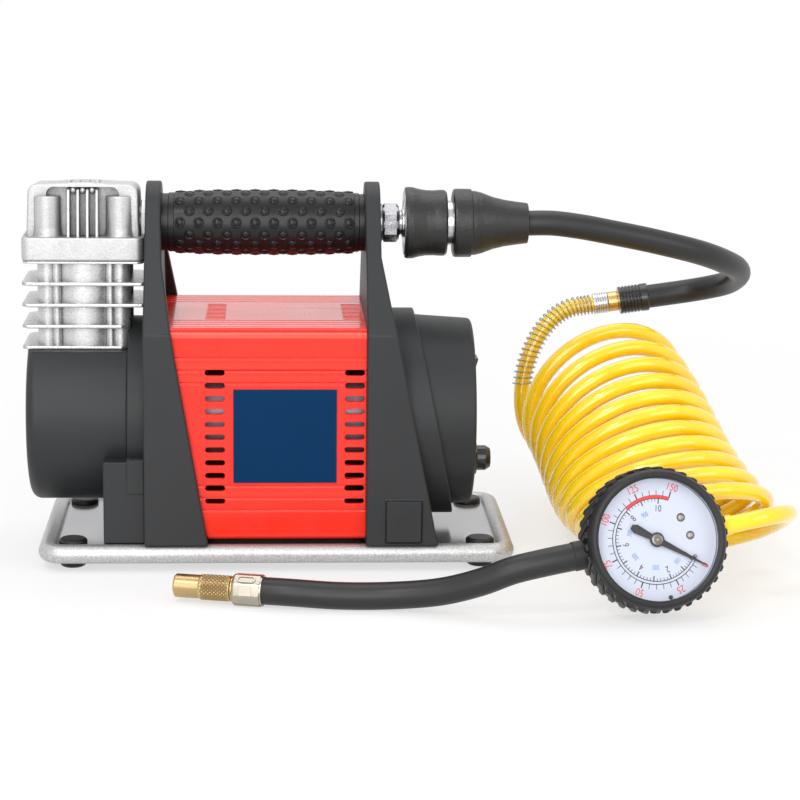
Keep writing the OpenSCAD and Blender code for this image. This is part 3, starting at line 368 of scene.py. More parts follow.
def roundedPath(corners, steps=4, closed=True):
    # corners are (x, y) or (x, y, radius)
    points = []
    count = len(corners)
    for i, corner in enumerate(corners):
        here = Vector(corner[:2])
        radius = corner[2] if len(corner) > 2 else 0
        if not radius or (not closed and i in (0, count - 1)):
            points.append(here)
            continue
        back = (Vector(corners[i - 1][:2]) - here).normalized()
        ahead = (Vector(corners[(i + 1) % count][:2]) - here).normalized()
        half = back.angle(ahead) / 2
        start = here + back * radius / math.tan(half)
        end = here + ahead * radius / math.tan(half)
        centre = here + (back + ahead).normalized() * radius / math.sin(half)
        swing = math.pi - 2 * half
        for k in range(steps + 1):
            a, b = math.sin(swing * (1 - k / steps)), math.sin(swing * k / steps)
            points.append(centre + ((start - centre) * a + (end - centre) * b) / math.sin(swing))
    return points


def turned(profile, steps=72, fillet=4):
    # profile of (radius, height) or (radius, height, fillet), turned about Z
    bm = bmesh.new()
    onAxis = profile[0][0] == 0 and profile[-1][0] == 0
    points = roundedPath(profile, fillet, closed=not onAxis)
    verts = [bm.verts.new((p.x, 0, p.y)) for p in points]
    edges = [bm.edges.new(pair) for pair in zip(verts, verts[1:])]
    if not onAxis:
        edges.append(bm.edges.new((verts[-1], verts[0])))
    bmesh.ops.spin(bm, geom=verts + edges, cent=(0, 0, 0), axis=(0, 0, 1), angle=math.tau, steps=steps,
                   use_merge=True, use_duplicate=False)
    bmesh.ops.remove_doubles(bm, verts=bm.verts, dist=0.0005)
    bmesh.ops.recalc_face_normals(bm, faces=bm.faces)
    return bm


def slab(corners, low, high, fillet=4):
    # outline drawn up from low to high
    bm = bmesh.new()
    base = bm.faces.new([bm.verts.new((p.x, p.y, low)) for p in roundedPath(corners, fillet)])
    top = bmesh.ops.extrude_face_region(bm, geom=[base])
    bmesh.ops.translate(bm, vec=(0, 0, high - low), verts=[v for v in top["geom"] if isinstance(v, bmesh.types.BMVert)])
    bmesh.ops.recalc_face_normals(bm, faces=bm.faces)
    return bm


def block(low, high):
    bm = bmesh.new()
    bmesh.ops.create_cube(bm, size=1)
    bmesh.ops.scale(bm, vec=[b - a for a, b in zip(low, high)], verts=bm.verts)
    bmesh.ops.translate(bm, vec=[(a + b) / 2 for a, b in zip(low, high)], verts=bm.verts)
    return bm


def placed(bm, matrix):
    bmesh.ops.transform(bm, matrix=matrix, verts=bm.verts)
    return bm


def together(*shapes):
    whole = bmesh.new()
    for bm in shapes:
        part = bpy.data.meshes.new("part")
        bm.to_mesh(part)
        bm.free()
        whole.from_mesh(part)
        bpy.data.meshes.remove(part)
    return whole


def rounded(bm, edges, width, segments=4, clamp=True):
    bmesh.ops.bevel(bm, geom=edges, offset=width, affect="EDGES", segments=segments, profile=0.5, material=-1,
                    clamp_overlap=clamp)
    return bm


def show(name, bm, paint, node="", body="compressor", edge=0, crease=35, segments=3):
    # makes a piece of the shape, which rides on a body and may stand for a CAD node
    bmesh.ops.scale(bm, vec=(mm, mm, mm), verts=bm.verts)
    mesh = bpy.data.meshes.new(name)
    bm.to_mesh(mesh)
    bm.free()
    mesh.materials.append(paint.material)
    mesh.shade_smooth()
    mesh.set_sharp_from_angle(angle=math.radians(crease))
    item = bpy.data.objects.new(name, mesh)
    bpy.context.scene.collection.objects.link(item)
    if edge:
        soft = item.modifiers.new("edges", "BEVEL")
        soft.width = edge * mm
        soft.segments = segments
        soft.limit_method = "ANGLE"
        soft.angle_limit = math.radians(crease)
    item.modifiers.new("normals", "WEIGHTED_NORMAL").keep_sharp = True
    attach(item, body)
    if node:
        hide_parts(node)
    return item


def fromNode(node, paint, edge, crease=30, segments=2):
    # a copy of a CAD piece with its seams merged and its edges softened
    bm = bmesh.new()
    bm.from_mesh(frame["nodes"][node].data)
    bmesh.ops.remove_doubles(bm, verts=bm.verts, dist=1e-6)
    bmesh.ops.dissolve_limit(bm, angle_limit=math.radians(0.8), verts=bm.verts, edges=bm.edges)
    bmesh.ops.scale(bm, vec=(1000,) * 3, verts=bm.verts)
    item = show(node + "Finished", bm, paint, node, nodeBody[node], edge, crease, segments)
    item.modifiers["edges"].use_clamp_overlap = False


def keepNode(node, paint):
    # a CAD piece that keeps its own shape
    mesh = frame["nodes"][node].data
    mesh.materials.clear()
    mesh.materials.append(paint.material)


def hose(name, points, radius, paint, node, sides):
    # a round curve through the points, which stands for its CAD node
    data = bpy.data.curves.new(name, "CURVE")
    data.dimensions = "3D"
    data.bevel_depth = radius * mm
    data.bevel_resolution = sides
    data.use_fill_caps = True
    line = data.splines.new("POLY")
    line.points.add(len(points) - 1)
    for spot, p in zip(line.points, points):
        spot.co = (*(p * mm), 1)
    line.use_smooth = True
    data.materials.append(paint.material)
    item = bpy.data.objects.new(name, data)
    bpy.context.scene.collection.objects.link(item)
    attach(item, "compressor")
    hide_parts(node)
    return item


def lengthOf(points):
    return sum((b - a).length for a, b in zip(points, points[1:])) * mm


def smoothLine(points, steps=8):
    # a smooth line through the points
    line = []
    last = len(points) - 1
    for i in range(last):
        a, b, c, d = (points[min(max(k, 0), last)] for k in (i - 1, i, i + 1, i + 2))
        for k in range(steps):
            t = k / steps
            line.append(0.5 * (2 * b + (c - a) * t + (2 * a - 5 * b + 4 * c - d) * t * t
                               + (3 * b - a - 3 * c + d) * t ** 3))
    return line + [points[-1]]


def along(a, b):
    # turns Z into the direction from a to b, placed at a
    return Matrix.Translation(a) @ (b - a).to_track_quat("Z", "X").to_matrix().to_4x4()


# routes of the hoses, in millimetres, as the solids have them

leadThick, whipThick = 12.7, 13
joinerFrom, ferruleFrom, ferruleTo = 16, 22.5, 30.3  # along the clamp's axis
clampAt = Vector((208.5, 100, 112.4))
clampWay = Vector((-0.99, 0, -0.141)).normalized()
leadRoute = [Vector(p) for p in (
    (131.3, 0, 166), (144, 0, 166), (159, 1, 164), (174, 3, 161), (190, 6.5, 157.5), (204, 10.5, 154),
    (218, 16.5, 150), (229, 24, 146), (238.5, 34, 141.5), (246, 46, 137), (250.5, 59, 132), (251, 72, 127),
    (248, 83, 122.5), (241, 92, 119), (232, 98, 116.2))] + [clampAt - 13 * clampWay, clampAt]
gauge = {"place": (179.4, -143, 39.5), "tilt": 17, "turn": 4.5, "outer": 33.5, "lugs": 36, "lean": 20,
         "portDepth": -14, "whipPort": 190, "coilPort": 10, "needle": -28}
gaugeFrame = moved(*gauge["place"]) @ swung(gauge["turn"], "Z") @ swung(90 - gauge["tilt"], "X")
chuckAt = Vector((-1.6, -114.5, 7.6))
chuckWay = swung(166, "Z") @ Vector((1, 0, 0))


def gaugeWay(angle):
    return gaugeFrame.to_3x3() @ swung(angle, "Z").to_3x3() @ Vector((1, 0, 0))


def portFrame(angle):
    return gaugeFrame @ moved(0, 0, gauge["portDepth"]) @ swung(angle, "Z") @ swung(90, "Y")


def portEnd(angle):
    return portFrame(angle) @ Vector((0, 0, gauge["outer"] + 5))


whipEnd = portEnd(gauge["whipPort"])
whipRoute = [chuckAt, chuckAt - 13 * chuckWay, Vector((34, -120, 6.6)), Vector((58, -122, 7.2)),
             Vector((80, -127.5, 10.5)), Vector((98, -133, 16.5)), Vector((113, -136.4, 23.2)),
             whipEnd + 13 * gaugeWay(gauge["whipPort"]), whipEnd]

coil = {"thick": 8.3, "radius": 44, "turns": 11.47, "start": 10,
        "middle": ((207, -72, 26.5), (184, -11, 32), (192, -5, 47), (181, 94, 61)),
        "back": (28, 41, 52, 66), "side": (6, 14, 25, 39), "perTurn": 48}


def blended(c, s):
    # a point of a curve through the first and last of four values, led by the two between
    return c[0] * (1 - s) ** 3 + 3 * c[1] * s * (1 - s) ** 2 + 3 * c[2] * s * s * (1 - s) + c[3] * s ** 3


def coilPoint(t):
    s = t / coil["turns"]
    a, b = math.radians(blended(coil["back"], s)), math.radians(blended(coil["side"], s))
    turn = math.radians(360 * t + coil["start"])
    middle = blended([Vector(p) for p in coil["middle"]], s)
    return (middle + coil["radius"] * math.cos(turn) * Vector((math.cos(b), 0, math.sin(b)))
            + coil["radius"] * math.sin(turn)
            * Vector((math.sin(b) * math.sin(a), math.cos(a), -math.cos(b) * math.sin(a))))


def coilLine():
    # the turns of the coil, with a lead to the gauge and one to the spring guard
    start, end = coilPoint(0), coilPoint(coil["turns"])
    startWay = (coilPoint(0.01) - start).normalized()
    endWay = (end - coilPoint(coil["turns"] - 0.01)).normalized()
    nearEnd, nearWay = portEnd(gauge["coilPort"]), gaugeWay(gauge["coilPort"])
    farEnd = clampAt + ferruleTo * clampWay
    near = [nearEnd + coil["thick"] * nearWay, nearEnd + 28 * nearWay, start - 30 * startWay, start]
    far = [end, end + 28 * endWay, farEnd + 36 * clampWay, farEnd + coil["thick"] * clampWay]
    count = int(coil["turns"] * coil["perTurn"])
    line = [nearEnd] + [blended(near, k / 16) for k in range(16)]
    line += [coilPoint(k / coil["perTurn"]) for k in range(count + 1)]
    line += [blended(far, k / 28) for k in range(1, 29)] + [farEnd]
    return line, far, farEnd


print("camera and room")
makeCamera(view)
makeLamps()
paints = makePaints()
makeRoom()

print("hoses")
leadLine = smoothLine(leadRoute)
whipLine = smoothLine(whipRoute)
yellowLine, farLead, farEnd = coilLine()
leadHose = hose("leadHose", leadLine, leadThick / 2, paints["hose"], "lead_hose", 8)
whipHose = hose("whipHose", whipLine[::-1], whipThick / 2, paints["hose"], "whip_hose", 8)
coilHose = hose("coilHose", yellowLine[::-1], coil["thick"] / 2, paints["yellow"], "coil_hose", 6)

print("hose fittings")


def ringed(radius, length, rings, depth, first, pitch, fillet=0.4):
    # a sleeve with grooves round it, as (radius, height) points
    points = [(radius, 0, fillet)]
    for k in range(rings):
        middle = first + k * pitch
        points += [(radius, middle - pitch * 0.28), (radius - depth, middle - pitch * 0.08),
                   (radius - depth, middle + pitch * 0.08), (radius, middle + pitch * 0.28)]
    return points + [(radius, length, fillet)]


clampFrame = along(clampAt, clampAt + clampWay)
clamp = {"rings": 6, "first": 4.6, "pitch": 1.85}
clampShape = [(0, 0), (7.5, 0, 0.5), (7.65, 0.9, 0.5), (7.5, 4.4, 0.4)]
for ring in range(clamp["rings"]):
    low = clamp["first"] + clamp["pitch"] * ring
    clampShape += [(7.0, low + 0.05, 0.15), (7.0, low + 0.55, 0.15), (7.55, low + 0.7, 0.3), (7.55, low + 1.75, 0.3)]
clampShape += [(7.2, joinerFrom, 0.3), (0, joinerFrom)]
joinerShape = [(2.5, joinerFrom), (5.0, joinerFrom), (5.0, 16.8), (5.4, 17, 0.3), (5.4, 22, 0.3), (5.0, ferruleFrom),
               (2.5, ferruleFrom)]
grooves = [(r, z + ferruleFrom, *fillet)
           for r, z, *fillet in ringed(5.7, ferruleTo - ferruleFrom, 5, 0.3, 1.4, 1.25, 0.3)]
ferruleProfile = [(2.5, ferruleFrom)] + grooves + [(2.5, ferruleTo)]
clampPiece = show("hoseClampSleeve", placed(turned(clampShape), clampFrame), paints["gloss"], "hose_clamp")
joinerPiece = show("brassJoiner", placed(turned(joinerShape), clampFrame), paints["brass"], "hose_joiner")
ferrulePiece = show("steelFerrule", placed(turned(ferruleProfile), clampFrame), paints["bright"], "guard_ferrule")

guard = {"radius": 5.15, "wire": 0.38, "curls": 24, "perTurn": 16, "share": 0.62}


def guardLine():
    # a wire wound round the end of the yellow hose
    rings = guard["curls"] * guard["perTurn"]
    straight = guard["perTurn"] * 4

    def middle(k):
        if k < straight:
            return farEnd + (0.6 + (coil["thick"] - 0.6) * k / straight) * clampWay
        return blended(farLead, 1 - guard["share"] * (k - straight) / (rings - straight))

    line = []
    for k in range(rings + 1):
        here = middle(k)
        way = (middle(k + 0.1) - here).normalized()
        u = way.cross(Vector((0, 0, 1))).normalized()
        v = way.cross(u)
        turn = math.tau * k / guard["perTurn"]
        line.append(here + guard["radius"] * (math.cos(turn) * u + math.sin(turn) * v))
    return line


springPiece = hose("springGuard", guardLine(), guard["wire"], paints["wire"], "spring_guard", 3)

print("coupler")
handleHigh = 166
handleAxis = moved(0, 0, handleHigh) @ swung(90, "Y")


def onHandle(profile):
    # a turned piece on the handle's axis
    return placed(turned(profile), handleAxis)


def hexBar(across, low, high, chamfer=1.3):
    # a hexagon with its corners cut round at both ends
    corner = across / math.sqrt(3)
    bm = bmesh.new()
    rows = []
    levels = [(low, across / 2 - 0.3), (low + chamfer, corner), (high - chamfer, corner), (high, across / 2 - 0.3)]
    for z, limit in levels:
        row = []
        for k in range(72):
            turn = math.tau * k / 72
            flat = across / 2 / math.cos((turn + math.pi / 6) % (math.pi / 3) - math.pi / 6)
            r = min(flat, limit) if limit < corner else flat
            row.append(bm.verts.new((r * math.sin(turn), r * math.cos(turn), z)))
        rows.append(row)
    for one, two in zip(rows, rows[1:]):
        for k in range(72):
            bm.faces.new((one[k - 1], one[k], two[k], two[k - 1]))
    bm.faces.new(rows[0])
    bm.faces.new(rows[-1])
    bmesh.ops.recalc_face_normals(bm, faces=bm.faces)
    return bm


nut = {"across": 17, "from": 57.3, "to": 65.8}
outletNut = together(turned([(6.5, 56), (9.6, 56, 0.3), (9.6, 57.4, 0.3), (6.5, 57.4)]),
                     hexBar(nut["across"], nut["from"], nut["to"]))
show("outletNut", placed(outletNut, handleAxis), paints["mottled"], "outlet_nut", crease=22)
show("couplerNeck", onHandle([(4, 58), (6.5, 58), (6.5, 66), (6.1, 66.4), (6.1, 67.1), (7.4, 67.5, 0.2),
                              (7.4, 68.4, 0.2), (11.25, 68.6, 0.3), (11.25, 89.9, 0.4), (6, 89.9), (6, 75), (4, 75)]),
     paints["bright"], "coupler_body")
show("couplerSleeve", onHandle([(11.3, 68.4), (15.9, 68.3, 0.3), (16.9, 68.9, 0.3), (14.5, 69.1), (14.5, 88.8),
                                (11.3, 88.8)]), paints["steel"], "coupler_sleeve", "sleeve")
show("sleeveRubber", onHandle([(14.5, 69), (16.7, 68.8), (17.6, 69.0, 0.4), (17.95, 70.2, 1), (17.85, 72.6, 2),
                               (16.95, 76.0, 3), (16.4, 79.2, 3), (16.3, 83, 3), (16.55, 86.5, 1.6),
                               (16.5, 88.7, 0.8), (15.6, 89.8, 0.6), (11.8, 89.8), (11.8, 88.9), (14.5, 88.8)]),
     paints["leather"], "sleeve_cover", "sleeve")
plugPiece = show("couplerPlug", onHandle([(2.6, 77), (6, 77), (6, 89.9), (11.25, 89.9, 0.3), (11.25, 94),
                                          (4.2, 94), (4.2, 125), (2.6, 125)]), paints["bright"], "coupler_plug")
bootPiece = show("hoseBoot", onHandle([(11.25, 93.2), (15.6, 92.9, 0.4), (16.9, 93.4, 0.5), (17.2, 94.6, 0.5),
                                       (17.1, 101.7, 0.5), (16.9, 102.1, 0.2), (16.15, 102.4, 0.2),
                                       (16.05, 104.2, 1.5), (15.3, 107.4, 4), (13.1, 113.2, 6), (11.7, 119, 6),
                                       (10.8, 125, 4), (10.1, 130.7, 0.6), (6.5, 131.3, 0.4), (4.2, 131.2),
                                       (4.2, 94), (11.25, 94)]), paints["leather"], "hose_boot")

print("chuck")
chuckFrame = along(chuckAt, chuckAt + chuckWay)
chuck = {"turn": 10, "across": 14.9, "length": 14.4, "ovals": (-45, 135), "knurlR": 6.2, "knurlDepth": 0.45,
         "knurlFrom": 16.2, "knurlTo": 29.7, "knurlRound": 40, "mouthR": 5.6}


def eightSided(across, low, high, edge, end):
    # an eight-sided bar with soft edges, rounder at its upper end
    corner = across / 2 / math.cos(math.pi / 8)
    bm = bmesh.new()
    bmesh.ops.create_cone(bm, segments=8, radius1=corner, radius2=corner, depth=high - low, cap_ends=True)
    placed(bm, moved(0, 0, (low + high) / 2) @ swung(22.5 + chuck["turn"], "Z"))
    rounded(bm, [e for e in bm.edges if abs(e.verts[0].co.z - e.verts[1].co.z) > 1], edge, 3, False)
    return rounded(bm, [e for e in bm.edges if all(v.co.z > high - 0.01 for v in e.verts)], end, 4, False)


def ovalRing(length, width, bar, high):
    # a raised oval ring lying in the XY plane
    x, y, r = length / 2, width / 2, width / 2.01
    outer = roundedPath([(-x, -y, r), (x, -y, r), (x, y, r), (-x, y, r)], 6)
    bm = bmesh.new()
    rows = []
    for grow, level in ((0, 0), (0.08, high), (bar - 0.08, high), (bar, 0)):
        row = []
        for p in outer:
            inward = Vector((max(y - x, min(x - y, p.x)), 0)) - p
            row.append(bm.verts.new((*(p + inward.normalized() * grow), level)))
        rows.append(row)
    for one, two in zip(rows, rows[1:]):
        for k in range(len(outer)):
            bm.faces.new((one[k], one[k - 1], two[k - 1], two[k]))
    bmesh.ops.recalc_face_normals(bm, faces=bm.faces)
    return bm


def ferruleShape():
    # an eight-sided ferrule with raised ovals on two sides, a flat pressed in and a round collar at its foot
    side = chuck["across"] / 2
    shapes = [eightSided(chuck["across"], 0.9, chuck["length"], 1.0, 1.5),
              turned([(5, 0), (7.35, 0, 0.25), (7.35, 1.3, 0.3), (5, 1.3)], 64)]
    for turn in chuck["ovals"]:
        face = swung(turn + chuck["turn"], "Z") @ moved(side - 0.02, 0, 7.4) @ swung(90, "Y")
        shapes.append(placed(ovalRing(9.0, 4.0, 0.75, 0.4), face))
    press = block((side - 0.5, -2.2, 4.6), (side + 0.12, 2.2, 10.4))
    return together(*shapes, placed(press, swung(chuck["turn"] - 90, "Z")))


chuckFerrule = show("chuckFerrule", placed(ferruleShape(), chuckFrame), paints["crimp"], "chuck_ferrule", crease=25)
stemShape = turned([(1.5, 0), (3.2, 0), (3.2, 14.4), (6.2, 14.4, 0.25), (6.2, 15.2, 0.25), (3.2, 15.3),
                    (3.2, 30, 0.2), (2.3, 30), (2.3, 26), (1.5, 26)])
chuckStem = show("chuckStem", placed(stemShape, chuckFrame), paints["brass"], "chuck_body")


def knurled():
    # collar with small pyramids between two sets of crossing grooves
    low, high, count = chuck["knurlFrom"], chuck["knurlTo"], chuck["knurlRound"]
    rows = round((high - low) / (math.tau * chuck["knurlR"] / count))
    bm = bmesh.new()
    rings = []
    for i in range(rows + 1):
        ring = []
        for j in range(count):
            deep = chuck["knurlDepth"] if (i + j) % 2 else 0
            turn = math.tau * j / count
            r = chuck["knurlR"] - deep
            ring.append(bm.verts.new((r * math.cos(turn), r * math.sin(turn), low + (high - low) * i / rows)))
        rings.append(ring)
    for i in range(rows):
        for j in range(count):
            a, b, c, d = rings[i][j - 1], rings[i][j], rings[i + 1][j], rings[i + 1][j - 1]
            if (i + j) % 2:
                bm.faces.new((a, b, d))
                bm.faces.new((b, c, d))
            else:
                bm.faces.new((a, b, c))
                bm.faces.new((a, c, d))
    bmesh.ops.recalc_face_normals(bm, faces=bm.faces)
    mouth = chuck["mouthR"]
    core = turned([(3.23, 15.6), (5.7, 15.6, 0.3), (6.0, 16.2, 0.2), (5.75, 16.8), (5.75, 29.2), (6.0, 29.7, 0.2),
                   (5.85, 30.3, 0.2), (mouth, 30.7, 0.2), (mouth, 42.3, 0.6), (5.0, 43, 0.3), (3.9, 43, 0.2),
                   (3.9, 32.9), (3.23, 32.9)], 80)
    return together(bm, core)


chuckCollar = show("chuckCollar", placed(knurled(), chuckFrame), paints["knurl"], "chuck_collar", "collar")

print("gauge")
bootBody = turned(
    [(0, -25), (31, -25, 1.2), (32.5, -23, 1), (32.5, -3.4, 2), (31.4, -0.5, 2.2), (29.7, 0.1, 0.8),
     (28.25, -0.6, 0.3), (28.25, -1.6), (29.7, -1.6), (29.7, -22.5), (0, -22.5)], 144)


def lug(turn):
    # a slanting bar on the side of the rubber boot
    bm = block((-2, -1.6, -8.6), (1.35, 1.6, 8.6))
    rounded(bm, [e for e in bm.edges if all(v.co.x > 0 for v in e.verts)], 1.1, 3)
    return placed(bm, swung(turn, "Z") @ moved(32.5, 0, -13) @ swung(gauge["lean"], "X"))


def onGauge(name, paint, node, *shapes):
    return show(name, placed(together(*shapes), gaugeFrame), paints[paint], node)


gaugeBoot = onGauge("gaugeBoot", "rubber", "gauge_boot", bootBody,
                    *[lug(360 * k / gauge["lugs"]) for k in range(gauge["lugs"])])
gaugeCase = onGauge("gaugeCase", "bright", "gauge_case",
                    turned([(28.5, -21.3), (29.7, -22.5), (29.7, -3.2), (28.5, -3.2)], 96))
gaugeLens = onGauge("gaugeLens", "lens", "gauge_lens",
                    turned([(0, -3.2), (29.7, -3.2), (29.7, -1.6), (0, -1.6)], 96))
gaugeDial = onGauge("gaugeDial", "dial", "gauge_dial",
                    turned([(0.8, -6.9), (28.4, -6.9, 0.1), (28.4, -6.1, 0.1), (0.8, -6.1)], 96))

# printing on the dial: the angles of its main marks run anticlockwise from the right, and a figure has a size and
# a distance from the middle
dialPrint = {"high": -6.06, "outer": (-28, -65, -110, -155, -202, -246, -289), "outerFigure": (4.9, 25.3),
             "inner": (-26, -70.5, -121, -172, -224, -275), "innerFigure": (4.3, 14.4), "thirdFigure": 3.2}


def scaleAngle(table, step, value):
    # where a value lies between the main marks
    place = value / step
    low = min(int(place), len(table) - 2)
    return table[low] + (table[low + 1] - table[low]) * (place - low)


def mark(angle, low, high, width):
    # a straight mark between two distances from the middle
    bm = bmesh.new()
    bmesh.ops.create_grid(bm, x_segments=1, y_segments=1, size=0.5)
    bmesh.ops.scale(bm, vec=(high - low, width, 1), verts=bm.verts)
    return placed(bm, swung(angle, "Z") @ moved((low + high) / 2, 0, dialPrint["high"]))


def arc(low, high, start, end, lift=0.0):
    bm = bmesh.new()
    pair = [bm.verts.new((r, 0, dialPrint["high"] + lift)) for r in (low, high)]
    edge = bm.edges.new(pair)
    placed(bm, swung(start, "Z"))
    bmesh.ops.spin(bm, geom=pair + [edge], cent=(0, 0, 0), axis=(0, 0, 1), angle=math.radians(end - start),
                   steps=max(8, int(abs(end - start) / 3)))
    bmesh.ops.recalc_face_normals(bm, faces=bm.faces)
    return bm


def figure(text, size, radius, angle, squeeze=0.8):
    # a number on the dial, with its foot towards the middle
    data = bpy.data.curves.new("figure", "FONT")
    data.body = text
    data.size = size
    data.align_x, data.align_y = "CENTER", "CENTER"
    item = bpy.data.objects.new("figure", data)
    bpy.context.scene.collection.objects.link(item)
    bpy.context.view_layer.update()
    mesh = bpy.data.meshes.new_from_object(item.evaluated_get(bpy.context.evaluated_depsgraph_get()))
    bm = bmesh.new()
    bm.from_mesh(mesh)
    bpy.data.objects.remove(item)
    bmesh.ops.scale(bm, vec=(squeeze, 1, 1), verts=bm.verts)
    return placed(bm, swung(angle, "Z") @ moved(radius, 0, dialPrint["high"]) @ swung(-90, "Z"))


outer, inner = dialPrint["outer"], dialPrint["inner"]
redShapes = [figure(str(25 * k), *dialPrint["outerFigure"], outer[k]) for k in range(7)]
redShapes.append(arc(19.25, 20.55, outer[6], -226.5, 0.01))
blackShapes = [figure(str(2 * k), *dialPrint["innerFigure"], inner[k]) for k in range(6)]
for k in range(31):
    main = k % 5 == 0
    blackShapes.append(mark(scaleAngle(outer, 25, 5 * k), 20.5, 23.3 if main else 22.9, 0.6 if main else 0.3))
for k in range(51):
    main = k % 5 == 0
    blackShapes.append(mark(scaleAngle(inner, 2, 0.2 * k), 16.7 if main else 17.7, 19.1, 0.55 if main else 0.28))
blackShapes += [arc(20.3, 20.7, outer[6], outer[0]), arc(18.9, 19.3, outer[6], outer[0]),
                mark(outer[6], 19.2, 23.4, 0.5)]
blueShapes = [figure(str(100 * k), dialPrint["thirdFigure"], 12.6 if k > 1 else 13.6, scaleAngle(inner, 2, k) + 3, 0.7)
              for k in (1, 3, 5, 7, 9)]
dialRed = onGauge("dialRed", "inkRed", "", *redShapes)
dialBlack = onGauge("dialBlack", "inkBlack", "", *blackShapes)
dialBlue = onGauge("dialBlue", "inkBlue", "", *blueShapes)


def dome(place, radius, height):
    # a rounded head that stands on the dial
    return placed(turned([(0, 0), (radius, 0), (radius, height * 0.3, height * 0.15), (radius * 0.6, height * 0.9, 0.3),
                          (0, height)], 24), moved(*place, -6.1))


screwPlaces = ((11.9, 10.1), (16.1, 1.8))
dialScrews = onGauge("dialScrews", "wire", "", *[dome(p, 1.7, 0.9) for p in screwPlaces], dome((17.9, -8.0), 1.0, 2.0))
dialNub = onGauge("dialNub", "inkBlack", "", dome((5.8, -26.6), 1.0, 1.4), *[dome(p, 2.0, 0.3) for p in screwPlaces])
needleShape = slab([(-13.4, -0.9, 0.3), (-11.2, -2.1, 0.3), (-3, -1.4), (3, -1.5), (26.4, -0.2), (26.4, 0.2),
                    (3, 1.5), (-3, 1.4), (-11.2, 2.1, 0.3), (-13.4, 0.9, 0.3)], -5.1, -4.4)
needleShape = together(needleShape, turned([(0, -5.2), (3.4, -5.2, 0.2), (3.4, -4.0, 0.3), (0, -4.0)], 48),
                       turned([(0, -12), (0.75, -12), (0.75, -5.2), (0, -5.2)], 16))
needleFrame = gaugeFrame @ swung(gauge["needle"], "Z")
show("gaugeNeedle", placed(needleShape, needleFrame), paints["gloss"], "gauge_needle", "needle", 0.1)
hubCap = turned([(0, -4.0), (2.6, -4.0), (2.6, -3.6, 0.2), (1.7, -3.45), (1.55, -3.7), (0.9, -3.7), (0.8, -3.4, 0.1),
                 (0, -3.35)], 40)
show("needleHub", placed(hubCap, needleFrame), paints["wire"], body="needle")
needlePin = turned([(0, -3.5), (0.65, -3.5), (0.65, -3.1, 0.15), (0, -3.05)], 20)
show("needlePin", placed(needlePin, needleFrame), paints["brass"], body="needle")

whipPort = turned([(2.5, 27), (6.7, 27), (6.9, 33, 0.5), (6.9, 38.2, 0.5), (6.5, 38.5), (2.5, 38.5)])
coilPort = turned([(1.8, 27), (4.7, 27), (4.7, 38.2, 0.4), (4.2, 38.5), (1.8, 38.5)])
ports = [show("whipPort", placed(whipPort, portFrame(gauge["whipPort"])), paints["rubber"], "whip_port_stem"),
         show("coilPort", placed(coilPort, portFrame(gauge["coilPort"])), paints["yellow"], "coil_port_stem")]

print("grip")
grip = {"columns": 10, "rows": 16, "pitch": 9.25, "first": -43.0, "ring": 2.85, "turn": -96.0}


def gripRing():
    # a raised ring with a small dome inside it
    return turned([(0, -0.7), (grip["ring"], -0.7), (grip["ring"], -0.2), (2.55, 0.24), (2.3, 0.3), (2.05, 0.08),
                   (1.85, 0.0), (1.55, 0.22), (1.05, 0.44), (0.5, 0.55), (0, 0.58)], 20)


gripLine = [(-52.5, 14.3), (-49.1, 14.3), (-48.9, 14.75), (-46.3, 14.75), (-46.1, 15.0), (-40, 15.35), (-28, 15.75),
            (-14, 15.95), (-2, 16), (12, 15.95), (26, 15.75), (38, 15.35), (43.2, 15.0), (43.4, 14.75), (45.6, 14.75),
            (45.8, 14.3), (48.5, 14.3)]
gripBody = turned([(8, -52.5)] + [(r, x, 0.15) for x, r in gripLine] + [(8, 48.5)], 96)


def gripRadius(x):
    # how thick the grip is at a place along it
    for (low, a), (high, b) in zip(gripLine, gripLine[1:]):
        if low <= x <= high:
            return a + (b - a) * (x - low) / (high - low)
    return gripLine[-1][1]


ringMesh = bpy.data.meshes.new("ring")
gripRing().to_mesh(ringMesh)
gripParts = [gripBody]
for row in range(grip["rows"]):
    shift = row % 2
    for column in range(grip["columns"] - shift):
        x = grip["first"] + grip["pitch"] * (column + shift / 2)
        dimple = bmesh.new()
        dimple.from_mesh(ringMesh)
        gripParts.append(placed(dimple, swung(grip["turn"] + 360 * row / grip["rows"], "Z")
                                @ moved(gripRadius(x), 0, x) @ swung(90, "Y")))
show("handleGrip", placed(together(*gripParts), handleAxis), paints["grip"], "handle_grip")

print("cylinder and head")
head = {"x": -90.6, "deck": 105, "plateLow": 147.8, "plate": 1.2, "flange": 11.8, "long": 60.3, "deep": 44, "top": 26.6,
        "front": -16, "back": 20, "fall": 3.7, "boltX": 17.9, "rib": 4.65, "finPitch": 10.6, "fin": 1.9}
headBase = head["plateLow"] + head["plate"]


def rimEdges(bm, level, axis=2, angle=20):
    # the sharp edges that lie at one level
    return [e for e in bm.edges if all(abs(v.co[axis] - level) < 0.02 for v in e.verts)
            and e.calc_face_angle(0) > math.radians(angle)]


def upright(bm):
    # turns a slab so that its outline stands across Y, with its low side in front
    return placed(bm, Matrix(((1, 0, 0, 0), (0, 0, 1, 0), (0, 1, 0, 0), (0, 0, 0, 1))))


def castOutline():
    # the cast top as seen from the front, slightly crowned
    foot, side, high = head["long"] / 2 - 2.2, head["long"] / 2 - 3.4, head["top"] - 0.8
    crown = [(15.5, high), (10, high + 0.45), (5, high + 0.72), (0, high + 0.82)]
    crown += [(-x, z) for x, z in crown[-2::-1]]
    return [(-foot, -3), (foot, -3), (side, high, 4.8)] + crown + [(-side, high, 4.8)]


def roundedSlab(half, deep, low, high, corner):
    # a plate with its four corners rounded
    return slab([(-half, -deep, corner), (half, -deep, corner), (half, deep, corner), (-half, deep, corner)],
                low, high, 6)


